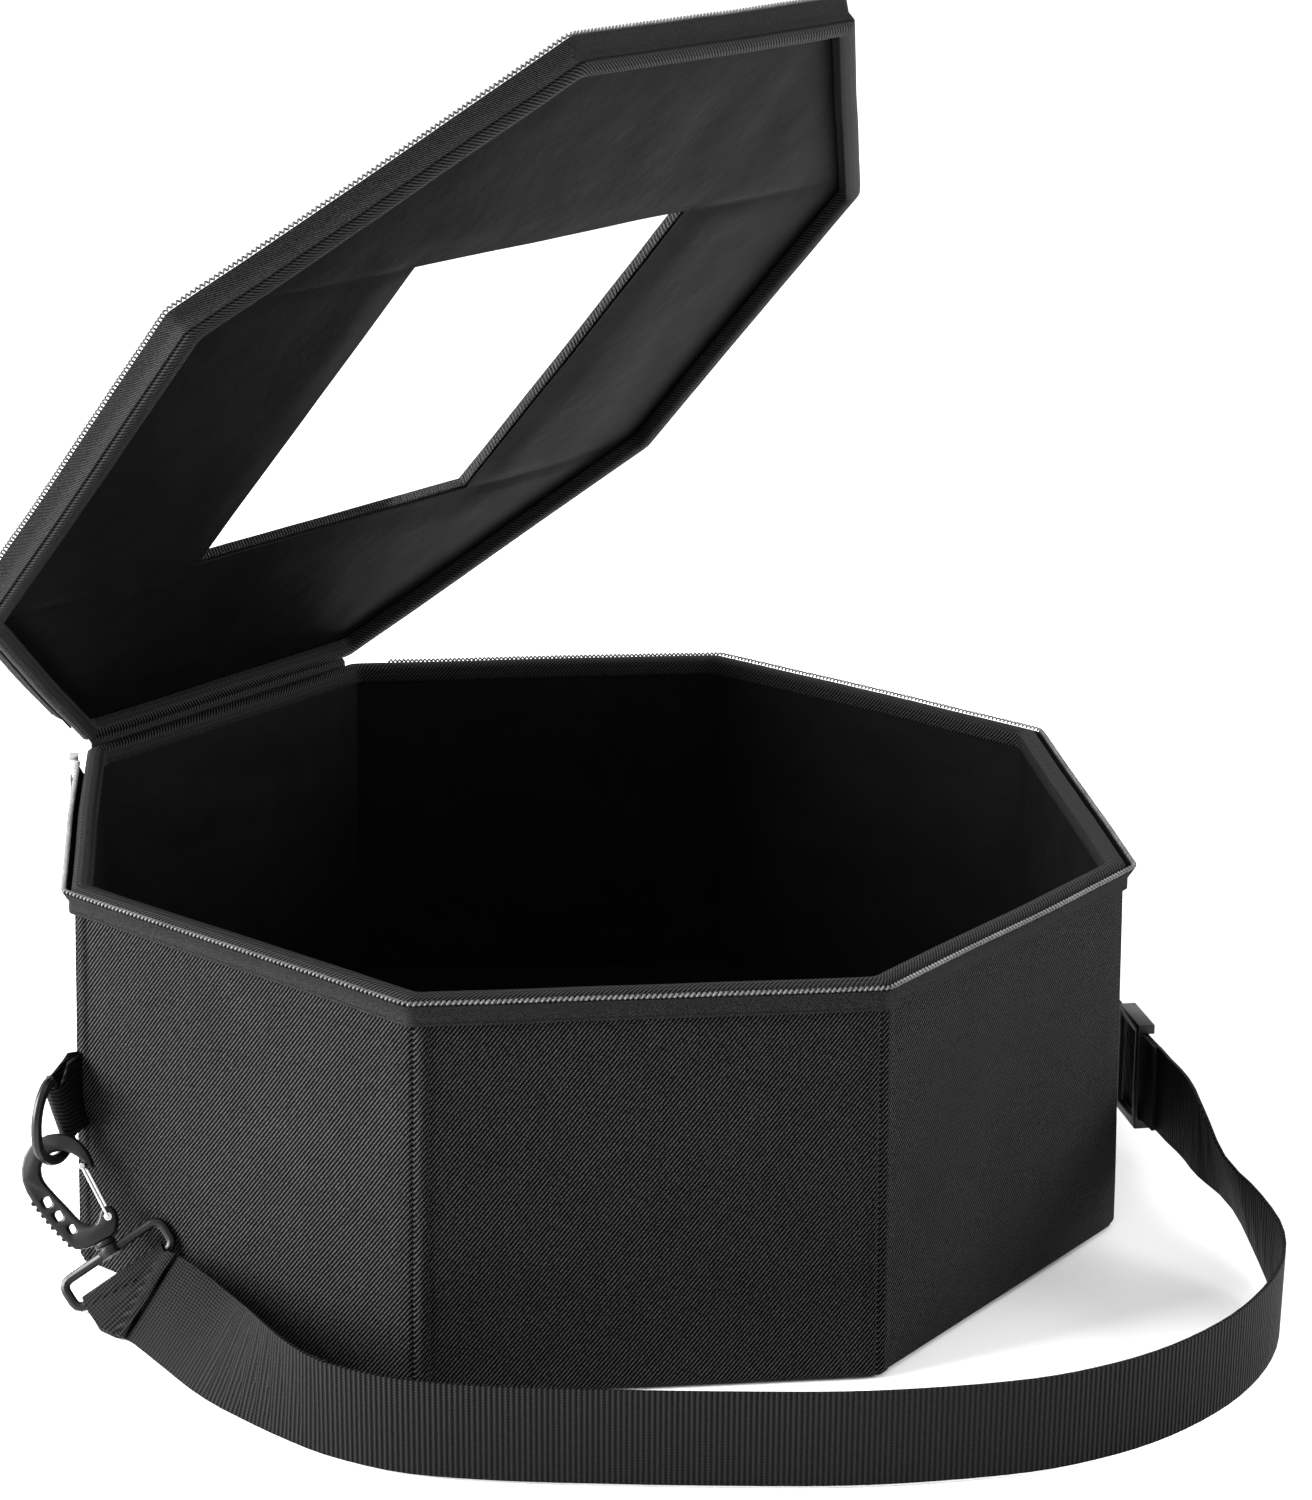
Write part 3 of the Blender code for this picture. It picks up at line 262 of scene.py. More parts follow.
def satin(name, dark, light):
    """Thin smooth lining cloth with a faint sheen and fine creases, its colour painted lighter and
    darker with the crease relief as painted light and shade.
    """
    f = Finish(name)
    u, v = f.place()
    weave = f.sum("MULTIPLY", f.ribs(u, 0.0007), f.ribs(v, 0.0007))
    creases = f.grain(16.0, 5.0, 0.62)
    fine = f.grain(70.0, 3.0, 0.5)
    # Painted light and shade: the colour follows the same crease and fine relief that drives the
    # bump.
    colour = f.ramp(f.sum("ADD", f.sum("MULTIPLY", creases, 0.6), f.sum("MULTIPLY", fine, 0.4)),
                    [(0.3, grey(dark)), (0.7, grey(light))])
    normal = f.bump(weave, 0.00008, 0.4, f.bump(fine, 0.0008, 0.35, f.bump(creases, 0.0030, 0.4)))
    return f.finish(colour, f.range(fine, 0.50, 0.64), normal, Specular_IOR_Level=0.03)


def moulded(name, level, roughness, grain_depth):
    """Black moulded plastic with a fine spark texture and worn, paler patches."""
    f = Finish(name)
    fine = f.grain(1400.0, 2.0)
    broad = f.grain(45.0, 3.0)
    colour = f.ramp(broad, [(0.3, grey(level * 0.8)), (0.75, grey(level * 1.5))])
    return f.finish(colour, f.range(broad, roughness - 0.06, roughness + 0.08),
                    f.bump(fine, grain_depth, 0.4), Specular_IOR_Level=0.25)


def polished(name, level, roughness):
    """Plated metal with faint scratches."""
    f = Finish(name)
    stretch = f.node("ShaderNodeMapping")
    f.join(f.node("ShaderNodeTexCoord").outputs["Object"], stretch.inputs["Vector"])
    stretch.inputs["Scale"].default_value = (1.0, 1.0, 0.08)
    scratches = f.grain(2600.0, 2.0, 0.6, stretch.outputs["Vector"])
    dull = f.grain(140.0, 2.0)
    colour = f.ramp(dull, [(0.3, grey(level * 0.85)), (0.7, grey(level))])
    return f.finish(colour, f.range(scratches, roughness - 0.08, roughness + 0.12),
                    f.bump(scratches, 0.00004, 0.3), Metallic=1.0)


def film(name):
    """Clear soft film, almost invisible, with a faint ripple."""
    f = Finish(name)
    ripple = f.grain(14.0, 1.0)
    colour = f.ramp(ripple, [(0.0, (0.97, 0.98, 0.98)), (1.0, (0.99, 0.99, 1.0))])
    clear = f.node("ShaderNodeBsdfTransparent")
    mix = f.node("ShaderNodeMixShader")
    f.join(colour, clear.inputs["Color"])
    mix.inputs["Fac"].default_value = FILM_SHARE
    dark = f.ramp(ripple, [(0.0, grey(0.008)), (1.0, grey(0.014))])
    f.join(clear.outputs[0], mix.inputs[1])
    f.join(f.shader.outputs[0], mix.inputs[2])
    f.join(mix.outputs[0], f.tree.nodes["Material Output"].inputs["Surface"])
    return f.finish(dark, f.range(ripple, 0.03, 0.08), f.bump(ripple, 0.002, 0.3))


CLOTH = twill("cloth_twill", 0.0002, 0.0012, 0.052, 0.0018, 0.00045, 0.80)
FLAP = twill("zip_tape_twill", 0.0015, 0.007, 0.040, 0.0009, 0.0002, 0.75)
LINING_CLOTH = satin("lining_satin", 0.0020, 0.0038)
BINDING_TAPE = ribbed("ribbed_binding", 0.0003, 0.022, 0.0018, 0.0006, 0.9, 0.0024, 0.55)
WEBBING = ribbed("ribbed_webbing", 0.0002, 0.0090, 0.0021, 0.0008, 0.0, 0.0012, 0.55)
THREAD = ribbed("stitch_thread", 0.001, 0.012, 0.0006, 0.0001, 0.5, 0.0006, 0.55)
# Painted highlight: the coil's pale grey level stands in for the glints along its turns.
COIL = moulded("coil_plastic", 0.080, 0.22, 0.00002)
PLASTIC = moulded("hook_plastic", 0.003, 0.34, 0.00003)
METAL = polished("bright_plating", 0.66, 0.24)
FILM = film("clear_film")


# Geometry helpers
def octagon(inset, height):
    """The outline's eight corners, as in part.py."""
    flare = FOOT_FLARE * max(0.0, 1 - height / RIM_HEIGHT)
    x = RIM_WIDTH / 2 + flare - inset
    y = RIM_DEPTH / 2 + flare - inset
    trim = CORNER_CUT + (flare - inset) * (2 - math.sqrt(2))
    plan = [(-x, y - trim), (-x, trim - y), (trim - x, -y), (x - trim, -y),
            (x, trim - y), (x, y - trim), (x - trim, y), (trim - x, y)]
    return [Vector((px, py, height)) for px, py in plan]


def outward(side):
    ring = octagon(0.0, RIM_HEIGHT)
    along = (ring[(side + 1) % 8] - ring[side]).normalized()
    return Vector((along.y, -along.x, 0.0))


def corner_arc(corners, index, steps):
    corner = corners[index]
    before = (corners[index - 1] - corner).normalized()
    after = (corners[(index + 1) % 8] - corner).normalized()
    half_turn = math.pi / 8
    centre = corner + (before + after).normalized() * CORNER_RADIUS / math.cos(half_turn)
    spoke = corner + before * CORNER_RADIUS * math.tan(half_turn) - centre
    return [centre + Matrix.Rotation(2 * half_turn / steps * i, 3, "Z") @ spoke
            for i in range(steps + 1)]


def fill_in(points, gap, cyclic):
    """The points with others between them, so that none is further than gap from the next."""
    result = []
    for i, point in enumerate(points):
        result.append(point)
        if i + 1 < len(points) or cyclic:
            following = points[(i + 1) % len(points)]
            count = max(1, round((following - point).length / gap))
            result += [point.lerp(following, k / count) for k in range(1, count)]
    return result


def fill_count(points, counts, cyclic):
    """The same, with the number of steps given for each stretch."""
    result = []
    for i, point in enumerate(points):
        result.append(point)
        if i + 1 < len(points) or cyclic:
            following = points[(i + 1) % len(points)]
            result += [point.lerp(following, k / counts[i]) for k in range(1, counts[i])]
    return result


def rim_line(inset, height, gap=0.008, steps=8):
    """The whole outline with rounded corners."""
    def corners_at(amount):
        corners = octagon(amount, height)
        return [point for i in range(8) for point in corner_arc(corners, i, steps)]
    reference = corners_at(0.0)
    counts = [max(1, round((reference[(i + 1) % len(reference)] - point).length / gap))
              for i, point in enumerate(reference)]
    return fill_count(corners_at(inset), counts, True)


def zip_line(inset, height, gap=0.008, steps=8):
    """The outline from beside one hinge corner round the front to the other."""
    def corners_at(amount):
        corners = octagon(amount, height)
        start = corners[7] + (corners[0] - corners[7]).normalized() * ZIP_SETBACK
        end = corners[6] + (corners[5] - corners[6]).normalized() * ZIP_SETBACK
        return [start, *(point for i in range(6) for point in corner_arc(corners, i, steps)), end]
    reference = corners_at(0.0)
    counts = [max(1, round((following - point).length / gap))
              for point, following in zip(reference, reference[1:])]
    return fill_count(corners_at(inset), counts, False)


def drift(point):
    """A slight unevenness that every sewn piece shares, so that neighbours stay together."""
    broad = noise.noise_vector(point * 9.0) * DRIFT_BROAD
    return broad + noise.noise_vector(point * 31.0) * DRIFT_FINE


def add_object(name, bm, finish, body, matrix=None, stands_for=(), sharp=40.0):
    """Turn a bmesh into a piece that rides on a body."""
    bmesh.ops.recalc_face_normals(bm, faces=bm.faces[:])
    if matrix is not None:
        bmesh.ops.transform(bm, matrix=matrix, verts=bm.verts[:])
    mesh = bpy.data.meshes.new(name)
    bm.to_mesh(mesh)
    bm.free()
    mesh.materials.append(finish)
    for face in mesh.polygons:
        face.use_smooth = True
    mesh.set_sharp_from_angle(angle=math.radians(sharp))
    made = bpy.data.objects.new(name, mesh)
    bpy.context.scene.collection.objects.link(made)
    if body:
        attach(made, body)
    if stands_for:
        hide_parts(*stands_for)
    return made


def skin(rows, cyclic, closed=True):
    """A bmesh from rows of points; UVs hold metres along the rows and round each row."""
    bm = bmesh.new()
    uv = bm.loops.layers.uv.new("UVMap")
    verts = [[bm.verts.new(point) for point in row] for row in rows]
    along = [0.0]
    for here, there in zip(rows, rows[1:] + rows[:1]):
        along.append(along[-1] + (there[0] - here[0]).length)
    across = [0.0]
    longest = rows[len(rows) // 2]
    for i in range(len(longest)):
        across.append(across[-1] + (longest[(i + 1) % len(longest)] - longest[i]).length)
    row_count = len(rows) if cyclic else len(rows) - 1
    size = len(rows[0])
    for i in range(row_count):
        here = verts[i]
        there = verts[(i + 1) % len(rows)]
        for j in range(size if closed else size - 1):
            k = (j + 1) % size
            face = bm.faces.new((here[j], there[j], there[k], here[k]))
            spots = ((i, j), (i + 1, j), (i + 1, j + 1), (i, j + 1))
            for loop, (a, b) in zip(face.loops, spots):
                loop[uv].uv = (along[a], across[b])
    if not cyclic and closed:
        bm.faces.new(verts[0])
        bm.faces.new(list(reversed(verts[-1])))
    return bm


def swept(name, profile, line, finish, body, stands_for, cyclic, matrix=None):
    """Carry a cross-section of (inset, height) points along an outline, with the shared drift."""
    tracks = [line(inset, height) for inset, height in profile]
    rows = [[point + drift(point) for point in section] for section in zip(*tracks)]
    return add_object(name, skin(rows, cyclic), finish, body, matrix, stands_for, 50.0)


def dense(profile, gap):
    """A closed cross-section with more points along its long sides."""
    points = fill_in([Vector((x, z, 0)) for x, z in profile], gap, True)
    return [(point.x, point.y) for point in points]


# Walls
def wall_columns(side):
    """Places along one side: share of its length, distance from its start, and its length."""
    ring = octagon(0.0, RIM_HEIGHT / 2)
    length = (ring[(side + 1) % 8] - ring[side]).length
    edge = [0.0, 0.0003, 0.0008, 0.0014, 0.0021]
    fold = [FOLD_START, FOLD_END, 0.0068, 0.0080]
    last = length - edge[-1]
    even = [fold[-1] + (last - fold[-1]) * i / 24 for i in range(1, 24)]
    places = edge + fold + even + [length - d for d in reversed(edge[1:])]
    return [(place / length, place, length) for place in places]


def seam_dip(place, length, radius):
    """How far the cloth turns in beside a corner seam."""
    near = min(place, length - place)
    if near >= radius:
        return 0.0
    return radius - math.sqrt(radius ** 2 - (radius - near) ** 2)


def arch(share):
    """0 at both ends of a span and 1 in its middle."""
    return math.sin(math.pi * min(1.0, max(0.0, share)))


def wall_point(side, share, place, inset, height):
    """A point of a wall at a share of its side, set in by inset."""
    corners = octagon(0.0, height)
    point = corners[side].lerp(corners[(side + 1) % 8], share)
    if place == 0.0:
        inward = -(outward(side) + outward(side - 1)).normalized() / math.cos(math.pi / 8)
    else:
        inward = -outward(side)
    return point + inward * inset


def walls():
    """Outer cloth of the walls: padded panels, corner grooves, a narrow fold beside each seam."""
    profile = []
    for degrees in range(0, 91, 18):
        turn = math.radians(degrees)
        profile.append((FOOT_ROUND * (1 - math.sin(turn)), FOOT_ROUND * (1 - math.cos(turn))))
    levels = 34
    for i in range(1, levels + 1):
        profile.append((0.0, FOOT_ROUND + (WALL_TOP - 0.001 - FOOT_ROUND) * i / levels))
    profile.append((0.0006, WALL_TOP))
    outer = len(profile)
    profile += [(WALL, WALL_TOP), (WALL, WALL_TOP / 2), (WALL, 0.0)]
    rows = []
    for side in range(8):
        for share, place, length in wall_columns(side):
            row = []
            for index, (inset, height) in enumerate(profile):
                if index < outer:
                    swell = arch(share) ** 0.7 * arch(height / WALL_TOP) ** 0.8
                    fold = FOLD_RISE if FOLD_START <= place <= FOLD_END else 0.0
                    spot = Vector((place * 16 + side * 7, height * 16, 3.0))
                    lumps = noise.noise(spot) * PAD_LUMPS
                    amount = inset + seam_dip(place, length, SEAM_ROUND) - fold
                    inset = min(WALL - LEAST_WALL, amount - swell * (PAD_SWELL + lumps))
                point = wall_point(side, share, place, inset, height)
                row.append(point + drift(point) * min(1.0, height / CALM_FOOT))
            rows.append(row)
    boards = ["wall_" + name for name in ("left", "front_left", "front", "front_right", "right",
                                          "back_right", "back", "back_left")]
    add_object("wall_cloth", skin(rows, True), CLOTH, "box", None, boards, 60.0)


def wall_linings():
    """Satin lining inside the walls, loose enough to crease between its corner seams."""
    foot = BASE + LINING + 2 * GAP
    face = WALL + GAP
    levels = 40
    profile = [(face, foot + (WALL_TOP - foot) * i / 4) for i in range(5)]
    hidden = len(profile)
    profile += [(face + LINING, WALL_TOP - (WALL_TOP - foot) * i / levels)
                for i in range(levels + 1)]
    rows = []
    for side in range(8):
        for share, place, _ in wall_columns(side):
            row = []
            for index, (inset, height) in enumerate(profile):
                if index >= hidden:
                    rise = (height - foot) / (WALL_TOP - foot)
                    hold = arch(share) ** 0.5 * arch(rise) ** 0.5
                    slack = noise.noise(Vector((place * 22 + side * 5, height * 9, 1.0)))
                    across = place * 10 - height * 14 + side * 3
                    crease = abs(noise.noise(Vector((across, height * 30, 5.0))))
                    inset += hold * (SATIN_SLACK + SATIN_LUMPS * slack + SATIN_CREASES * crease)
                point = wall_point(side, share, place, inset, height)
                row.append(point + drift(point) * min(1.0, height / CALM_FOOT))
            rows.append(row)
    add_object("wall_satin", skin(rows, True), LINING_CLOTH, "box", None,
               ["wall_lining"], 60.0)


def spaced(low, high, gap, extra=()):
    """Even places from low to high, with extra ones among them."""
    count = round((high - low) / gap)
    places = {round(low + (high - low) * i / count, 6) for i in range(count + 1)}
    clear = [p for p in places if all(abs(p - e) > gap * 0.3 for e in extra)]
    return sorted(set(clear) | {round(e, 6) for e in extra})


def flat_panel(name, inset, level, rise, thickness, finish, body, stands_for, hole=None,
               matrix=None, insets=(), lines=(), gap=0.009):
    """An octagonal sheet or board, with a rectangular opening if asked.

    rise(x, y, edge) gives the lift of its upper and its lower face.
    """
    spare = 0.01
    half_x = RIM_WIDTH / 2 + spare
    half_y = RIM_DEPTH / 2 + spare
    hole_x = hole[0] / 2 if hole else 0.0
    hole_y = hole[1] / 2 if hole else 0.0
    extra_x = [-hole_x - HEM_LINE, -hole_x, hole_x, hole_x + HEM_LINE] if hole else []
    extra_y = [-hole_y - HEM_LINE, -hole_y, hole_y, hole_y + HEM_LINE] if hole else []
    xs = spaced(-half_x, half_x, gap, extra_x)
    ys = spaced(-half_y, half_y, gap, sorted(extra_y + list(lines)))
    bm = bmesh.new()
    verts = [[bm.verts.new((x, y, level)) for y in ys] for x in xs]
    for i in range(len(xs) - 1):
        for j in range(len(ys) - 1):
            middle_x = (xs[i] + xs[i + 1]) / 2
            middle_y = (ys[j] + ys[j + 1]) / 2
            if hole and abs(middle_x) < hole_x and abs(middle_y) < hole_y:
                continue
            bm.faces.new((verts[i][j], verts[i + 1][j], verts[i + 1][j + 1], verts[i][j + 1]))
    for number, amount in enumerate((inset, *insets)):
        corners = octagon(amount, level)
        for side in range(8):
            bmesh.ops.bisect_plane(bm, geom=bm.verts[:] + bm.edges[:] + bm.faces[:], dist=1e-7,
                                   plane_co=corners[side], plane_no=outward(side),
                                   clear_outer=number == 0)
    loose = [vert for vert in bm.verts if not vert.link_faces]
    bmesh.ops.delete(bm, geom=loose, context="VERTS")
    corners = octagon(inset, level)
    uv = bm.loops.layers.uv.new("UVMap")
    for face in bm.faces:
        for loop in face.loops:
            loop[uv].uv = loop.vert.co.xy
    bmesh.ops.recalc_face_normals(bm, faces=bm.faces[:])
    if bm.faces[:][0].normal.z < 0:
        bmesh.ops.reverse_faces(bm, faces=bm.faces[:])
    under = bmesh.ops.duplicate(bm, geom=bm.verts[:] + bm.edges[:] + bm.faces[:])
    low = [item for item in under["geom"] if isinstance(item, bmesh.types.BMVert)]
    low_faces = [item for item in under["geom"] if isinstance(item, bmesh.types.BMFace)]
    bmesh.ops.reverse_faces(bm, faces=low_faces)
    low_set = set(low)
    pairs = {}
    for vert in low:
        pairs[(round(vert.co.x, 7), round(vert.co.y, 7))] = vert
    tops = [vert for vert in bm.verts if vert not in low_set]
    rim = [edge for edge in bm.edges if edge.is_boundary and edge.verts[0] not in low_set]
    for edge in rim:
        a, b = edge.verts
        face = edge.link_faces[0]
        order = [loop.vert for loop in face.loops]
        if order[(order.index(a) + 1) % len(order)] is b:
            a, b = b, a
        c = pairs[(round(b.co.x, 7), round(b.co.y, 7))]
        d = pairs[(round(a.co.x, 7), round(a.co.y, 7))]
        side_face = bm.faces.new((a, b, c, d))
        for loop, drop in zip(side_face.loops, (0.0, 0.0, thickness, thickness)):
            loop[uv].uv = (loop.vert.co.x + drop, loop.vert.co.y + drop)
    for vert in tops + low:
        edge_distance = min((corners[side] - vert.co).dot(outward(side)) for side in range(8))
        high, deep = rise(vert.co.x, vert.co.y, max(0.0, edge_distance))
        shift = drift(Vector((vert.co.x, vert.co.y, level)))
        vert.co.z = level + (high if vert not in low_set else deep - thickness)
        vert.co += shift
    return add_object(name, bm, finish, body, matrix, stands_for, 45.0)


def base():
    """Floor of the box: the cloth-covered board and the satin on it."""
    def board_rise(x, y, edge):
        turn = max(0.0, 1 - edge / BOARD_TURN)
        return -BOARD_DIP * turn, BOARD_CUT * turn

    def satin_rise(x, y, edge):
        hold = min(1.0, edge / EDGE_CALM)
        lumps = noise.noise(Vector((x * 14, y * 11, 2.0)))
        creases = abs(noise.noise(Vector((x * 9 + y * 6, y * 22, 4.0))))
        high = hold * (FLOOR_SLACK + FLOOR_LUMPS * lumps + FLOOR_CREASES * creases)
        return max(0.0, high), 0.0

    flat_panel("base_cloth", WALL + GAP, BASE, board_rise, BASE, CLOTH, "box",
               ["base_board"], insets=(0.0060, 0.0068), gap=0.02)
    flat_panel("base_satin", WALL + GAP, BASE + GAP + LINING, satin_rise, LINING, LINING_CLOTH,
               "box", ["base_lining"], gap=0.007)


def folded_tape(edge, away, reach):
    """Cross-section of tape folded over an edge."""
    outer = -GAP - BINDING
    inner = LINED_WALL + GAP + BINDING
    middle = (outer + inner) / 2
    half = (inner - outer) / 2
    lip = edge + away * reach
    under = edge + away * BINDING_CROWN
    fold = []
    for degrees in range(0, 181, 15):
        turn = math.radians(degrees)
        fold.append((middle + half * math.cos(turn), under - away * BINDING_CROWN * math.sin(turn)))
    waist = edge + away * reach * 0.55
    pinch = 0.00022
    soft = 0.0004
    return [*fold, (outer + pinch, waist), (outer, lip - away * soft), (outer + soft, lip),
            (-GAP, lip), (-GAP, under), (LINED_WALL + GAP, under), (LINED_WALL + GAP, lip),
            (inner - soft, lip), (inner, lip - away * soft), (inner - pinch, waist)]


def flat_tape(start, bend, end, flare):
    """Cross-section of a zipper tape that stands off the wall towards its toothed edge."""
    return [(-TAPE_IN, start), (-TAPE_IN, bend), (-TAPE_IN - flare, end),
            (-TAPE_IN - flare - TAPE, end), (-TAPE_IN - TAPE, bend), (-TAPE_IN - TAPE, start)]


def tube(points, radius, sides):
    """A bmesh tube along a list of points."""
    bm = bmesh.new()
    uv = bm.loops.layers.uv.new("UVMap")
    rings = []
    run = 0.0
    runs = []
    for i, point in enumerate(points):
        ahead = (points[min(i + 1, len(points) - 1)] - points[max(i - 1, 0)]).normalized()
        if i == 0:
            first = ahead.orthogonal().normalized()
        else:
            first = (first - ahead * first.dot(ahead)).normalized()
        second = ahead.cross(first)
        ring = []
        for k in range(sides):
            turn = 2 * math.pi * k / sides
            spoke = first * math.cos(turn) + second * math.sin(turn)
            ring.append(bm.verts.new(point + spoke * radius))
        rings.append(ring)
        if i:
            run += (point - points[i - 1]).length
        runs.append(run)
    for i in range(len(rings) - 1):
        for k in range(sides):
            m = (k + 1) % sides
            face = bm.faces.new((rings[i][k], rings[i][m], rings[i + 1][m], rings[i + 1][k]))
            for loop, (a, b) in zip(face.loops, ((i, k), (i, k + 1), (i + 1, k + 1), (i + 1, k))):
                loop[uv].uv = (runs[a], b * radius)
    bm.faces.new(list(reversed(rings[0])))
    bm.faces.new(rings[-1])
    return bm


def coil_piece(name, inset, low, matrix, body, node):
    """The zipper's coil: one long spiral of plastic wire beside the tape's edge."""
    path = fill_in(zip_line(inset, low + COIL_HEIGHT / 2, 0.002, 6), COIL_PITCH / 6, False)
    points = []
    run = 0.0
    for i, point in enumerate(path):
        ahead = (path[min(i + 1, len(path) - 1)] - path[max(i - 1, 0)]).normalized()
        out = Vector((ahead.y, -ahead.x, 0.0))
        if i:
            run += (point - path[i - 1]).length
        turn = 2 * math.pi * run / COIL_PITCH
        spot = point + drift(point)
        spot += out * math.cos(turn) * (COIL_WIDTH / 2 - COIL_WIRE)
        spot += Vector((0, 0, 1)) * math.sin(turn) * (COIL_HEIGHT / 2 - COIL_WIRE)
        points.append(spot)
    add_object(name, tube(points, COIL_WIRE, 5), COIL, body, matrix, [node], 80.0)


def stitch_row(name, points, body, matrix=None):
    """A row of short sewn stitches along a line of points."""
    path = fill_in(points, STITCH_PITCH, False)
    bm = bmesh.new()
    for here, there in zip(path, path[1:]):
        span = there - here
        if span.length < STITCH_PITCH * 0.4:
            continue
        middle = (here + there) / 2
        half = span * 0.36
        thread = [middle - half, middle - half * 0.7, middle + half * 0.7, middle + half]
        part = tube(thread, STITCH_RADIUS, 5)
        mesh = bpy.data.meshes.new("stitch")
        part.to_mesh(mesh)
        part.free()
        bm.from_mesh(mesh)
        bpy.data.meshes.remove(mesh)
    return add_object(name, bm, THREAD, body, matrix, (), 60.0)


def body_trim():
    """Binding, zipper tape, coil and stitches of the body."""
    swept("rim_ribbon", dense(folded_tape(RIM_HEIGHT, -1, BINDING_REACH), 0.003), rim_line,
          BINDING_TAPE, "box", ["rim_binding"], True)
    top = RIM_HEIGHT - TAPE_TOP
    tape = dense(flat_tape(RIM_HEIGHT - TAPE_LOW, RIM_HEIGHT - TAPE_BEND, top, TAPE_FLARE), 0.0015)
    swept("body_zip_cloth", tape, zip_line, FLAP, "box", ["body_zipper_tape"], False)
    coil_piece("body_zip_coil", -TAPE_IN - TAPE_FLARE - TAPE / 2, top + GAP, None, "box",
               "body_zipper_coil")
    inside = LINED_WALL + GAP + BINDING
    line = rim_line(inside, RIM_HEIGHT - BINDING_REACH + STITCH_SET, STITCH_PITCH)
    stitch_row("rim_stitches", [p + drift(p) for p in line], "box")
    outside = -TAPE_IN - TAPE
    line = zip_line(outside, RIM_HEIGHT - TAPE_LOW + ZIP_STITCH_SET, STITCH_PITCH)
    stitch_row("zip_stitches", [p + drift(p) for p in line], "box")


def lid():
    """Lid: padded panel, lining with sewn seams, side band, binding, tape and coil."""
    hole = (WINDOW_WIDTH, WINDOW_LENGTH)
    seam = WINDOW_LENGTH / 2
    board_low = LID_TOP - LID_BOARD

    def near_hole(x, y):
        dx = max(0.0, abs(x) - WINDOW_WIDTH / 2)
        dy = max(0.0, abs(y) - WINDOW_LENGTH / 2)
        return math.hypot(dx, dy)

    def panel_rise(x, y, edge):
        turn = max(0.0, 1 - edge / LID_EDGE_ROUND)
        high = -LID_EDGE_ROUND * (1 - math.sqrt(max(0.0, 1 - turn ** 2)))
        hem = near_hole(x, y)
        high -= HEM_DIP * max(0.0, 1 - hem / HEM_LINE) ** 2
        hold = min(1.0, edge / EDGE_CALM) * min(1.0, hem / HEM_CALM)
        high += hold * PANEL_LUMPS * noise.noise(Vector((x * 13, y * 13, 7.0)))
        return high, 0.0

    def lining_rise(x, y, edge):
        hem = near_hole(x, y)
        hold = min(1.0, edge / EDGE_CALM) * min(1.0, hem / LINING_CALM)
        sag = SAG + SAG_LUMPS * noise.noise(Vector((x * 12, y * 9, 9.0)))
        sag += SAG_CREASES * abs(noise.noise(Vector((x * 20 - y * 7, y * 12, 6.0))))
        stitched = 0.0
        if abs(x) > WINDOW_WIDTH / 2:
            stitched = max(0.0, 1 - abs(abs(y) - seam) / SEAM_HOLD)
        return 0.0, -hold * max(0.0, sag) * (1 - SEAM_GRIP * stitched)

    flat_panel("lid_cloth", 0.0, LID_TOP, panel_rise, LID_BOARD, CLOTH, "lid",
               ["lid_panel"], hole, OPEN_LID, insets=(0.0004, 0.0011, 0.0020, 0.0030))
    lining_top = board_low - GAP - WINDOW_FILM - GAP
    seam_lines = [sign * (seam + off) for sign in (-1, 1)
                  for off in (-HEM_LINE, 0.0, HEM_LINE, 0.005)]
    flat_panel("lid_satin", LID_SIDE + GAP, lining_top, lining_rise, LINING, LINING_CLOTH, "lid",
               ["lid_lining"], hole, OPEN_LID, lines=seam_lines, gap=0.006)
    low = LID_EDGE + BINDING_CROWN + GAP
    band_high = board_low - GAP
    band = dense([(0.0, low), (0.0, band_high), (LID_SIDE, band_high), (LID_SIDE, low)], 0.002)
    swept("lid_band_cloth", band, rim_line, CLOTH, "lid", ["lid_side_band"], True,
          OPEN_LID)
    cover_high = lining_top - LINING - GAP
    face = LID_SIDE + GAP
    cover = dense([(face, low), (face, cover_high), (LINED_WALL, cover_high), (LINED_WALL, low)],
                  0.002)
    swept("lid_band_satin", cover, rim_line, LINING_CLOTH, "lid",
          ["lid_band_lining"], True, OPEN_LID)
    swept("lid_ribbon", dense(folded_tape(LID_EDGE, 1, LID_BINDING_REACH), 0.003), rim_line,
          BINDING_TAPE, "lid", ["lid_binding"], True, OPEN_LID)
    end = LID_EDGE + LID_TAPE_END
    tape = dense(flat_tape(LID_EDGE + LID_TAPE_START, LID_EDGE + LID_BINDING_REACH, end,
                           LID_TAPE_FLARE), 0.0015)
    swept("lid_zip_cloth", tape, zip_line, FLAP, "lid", ["lid_zipper_tape"], False,
          OPEN_LID)
    coil_piece("lid_zip_coil", -TAPE_IN - LID_TAPE_FLARE - TAPE / 2, end + GAP, OPEN_LID, "lid",
               "lid_zipper_coil")
    inside = LINED_WALL + GAP + BINDING
    line = rim_line(inside, LID_EDGE + LID_BINDING_REACH - STITCH_SET, STITCH_PITCH)
    stitch_row("lid_rim_stitches", [p + drift(p) for p in line], "lid", OPEN_LID)
    x = WINDOW_WIDTH / 2 + WINDOW_STITCH_SET
    y = WINDOW_LENGTH / 2 + WINDOW_STITCH_SET
    for side, height, level in (("top", LID_TOP, LID_TOP),
                                ("inner", lining_top - LINING, lining_top)):
        square = [Vector((px, py, height))
                  for px, py in ((-x, -y), (x, -y), (x, y), (-x, y), (-x, -y))]
        line = [p + drift(Vector((p.x, p.y, level))) for p in fill_in(square, STITCH_PITCH, False)]
        stitch_row("window_stitches_" + side, line, "lid", OPEN_LID)


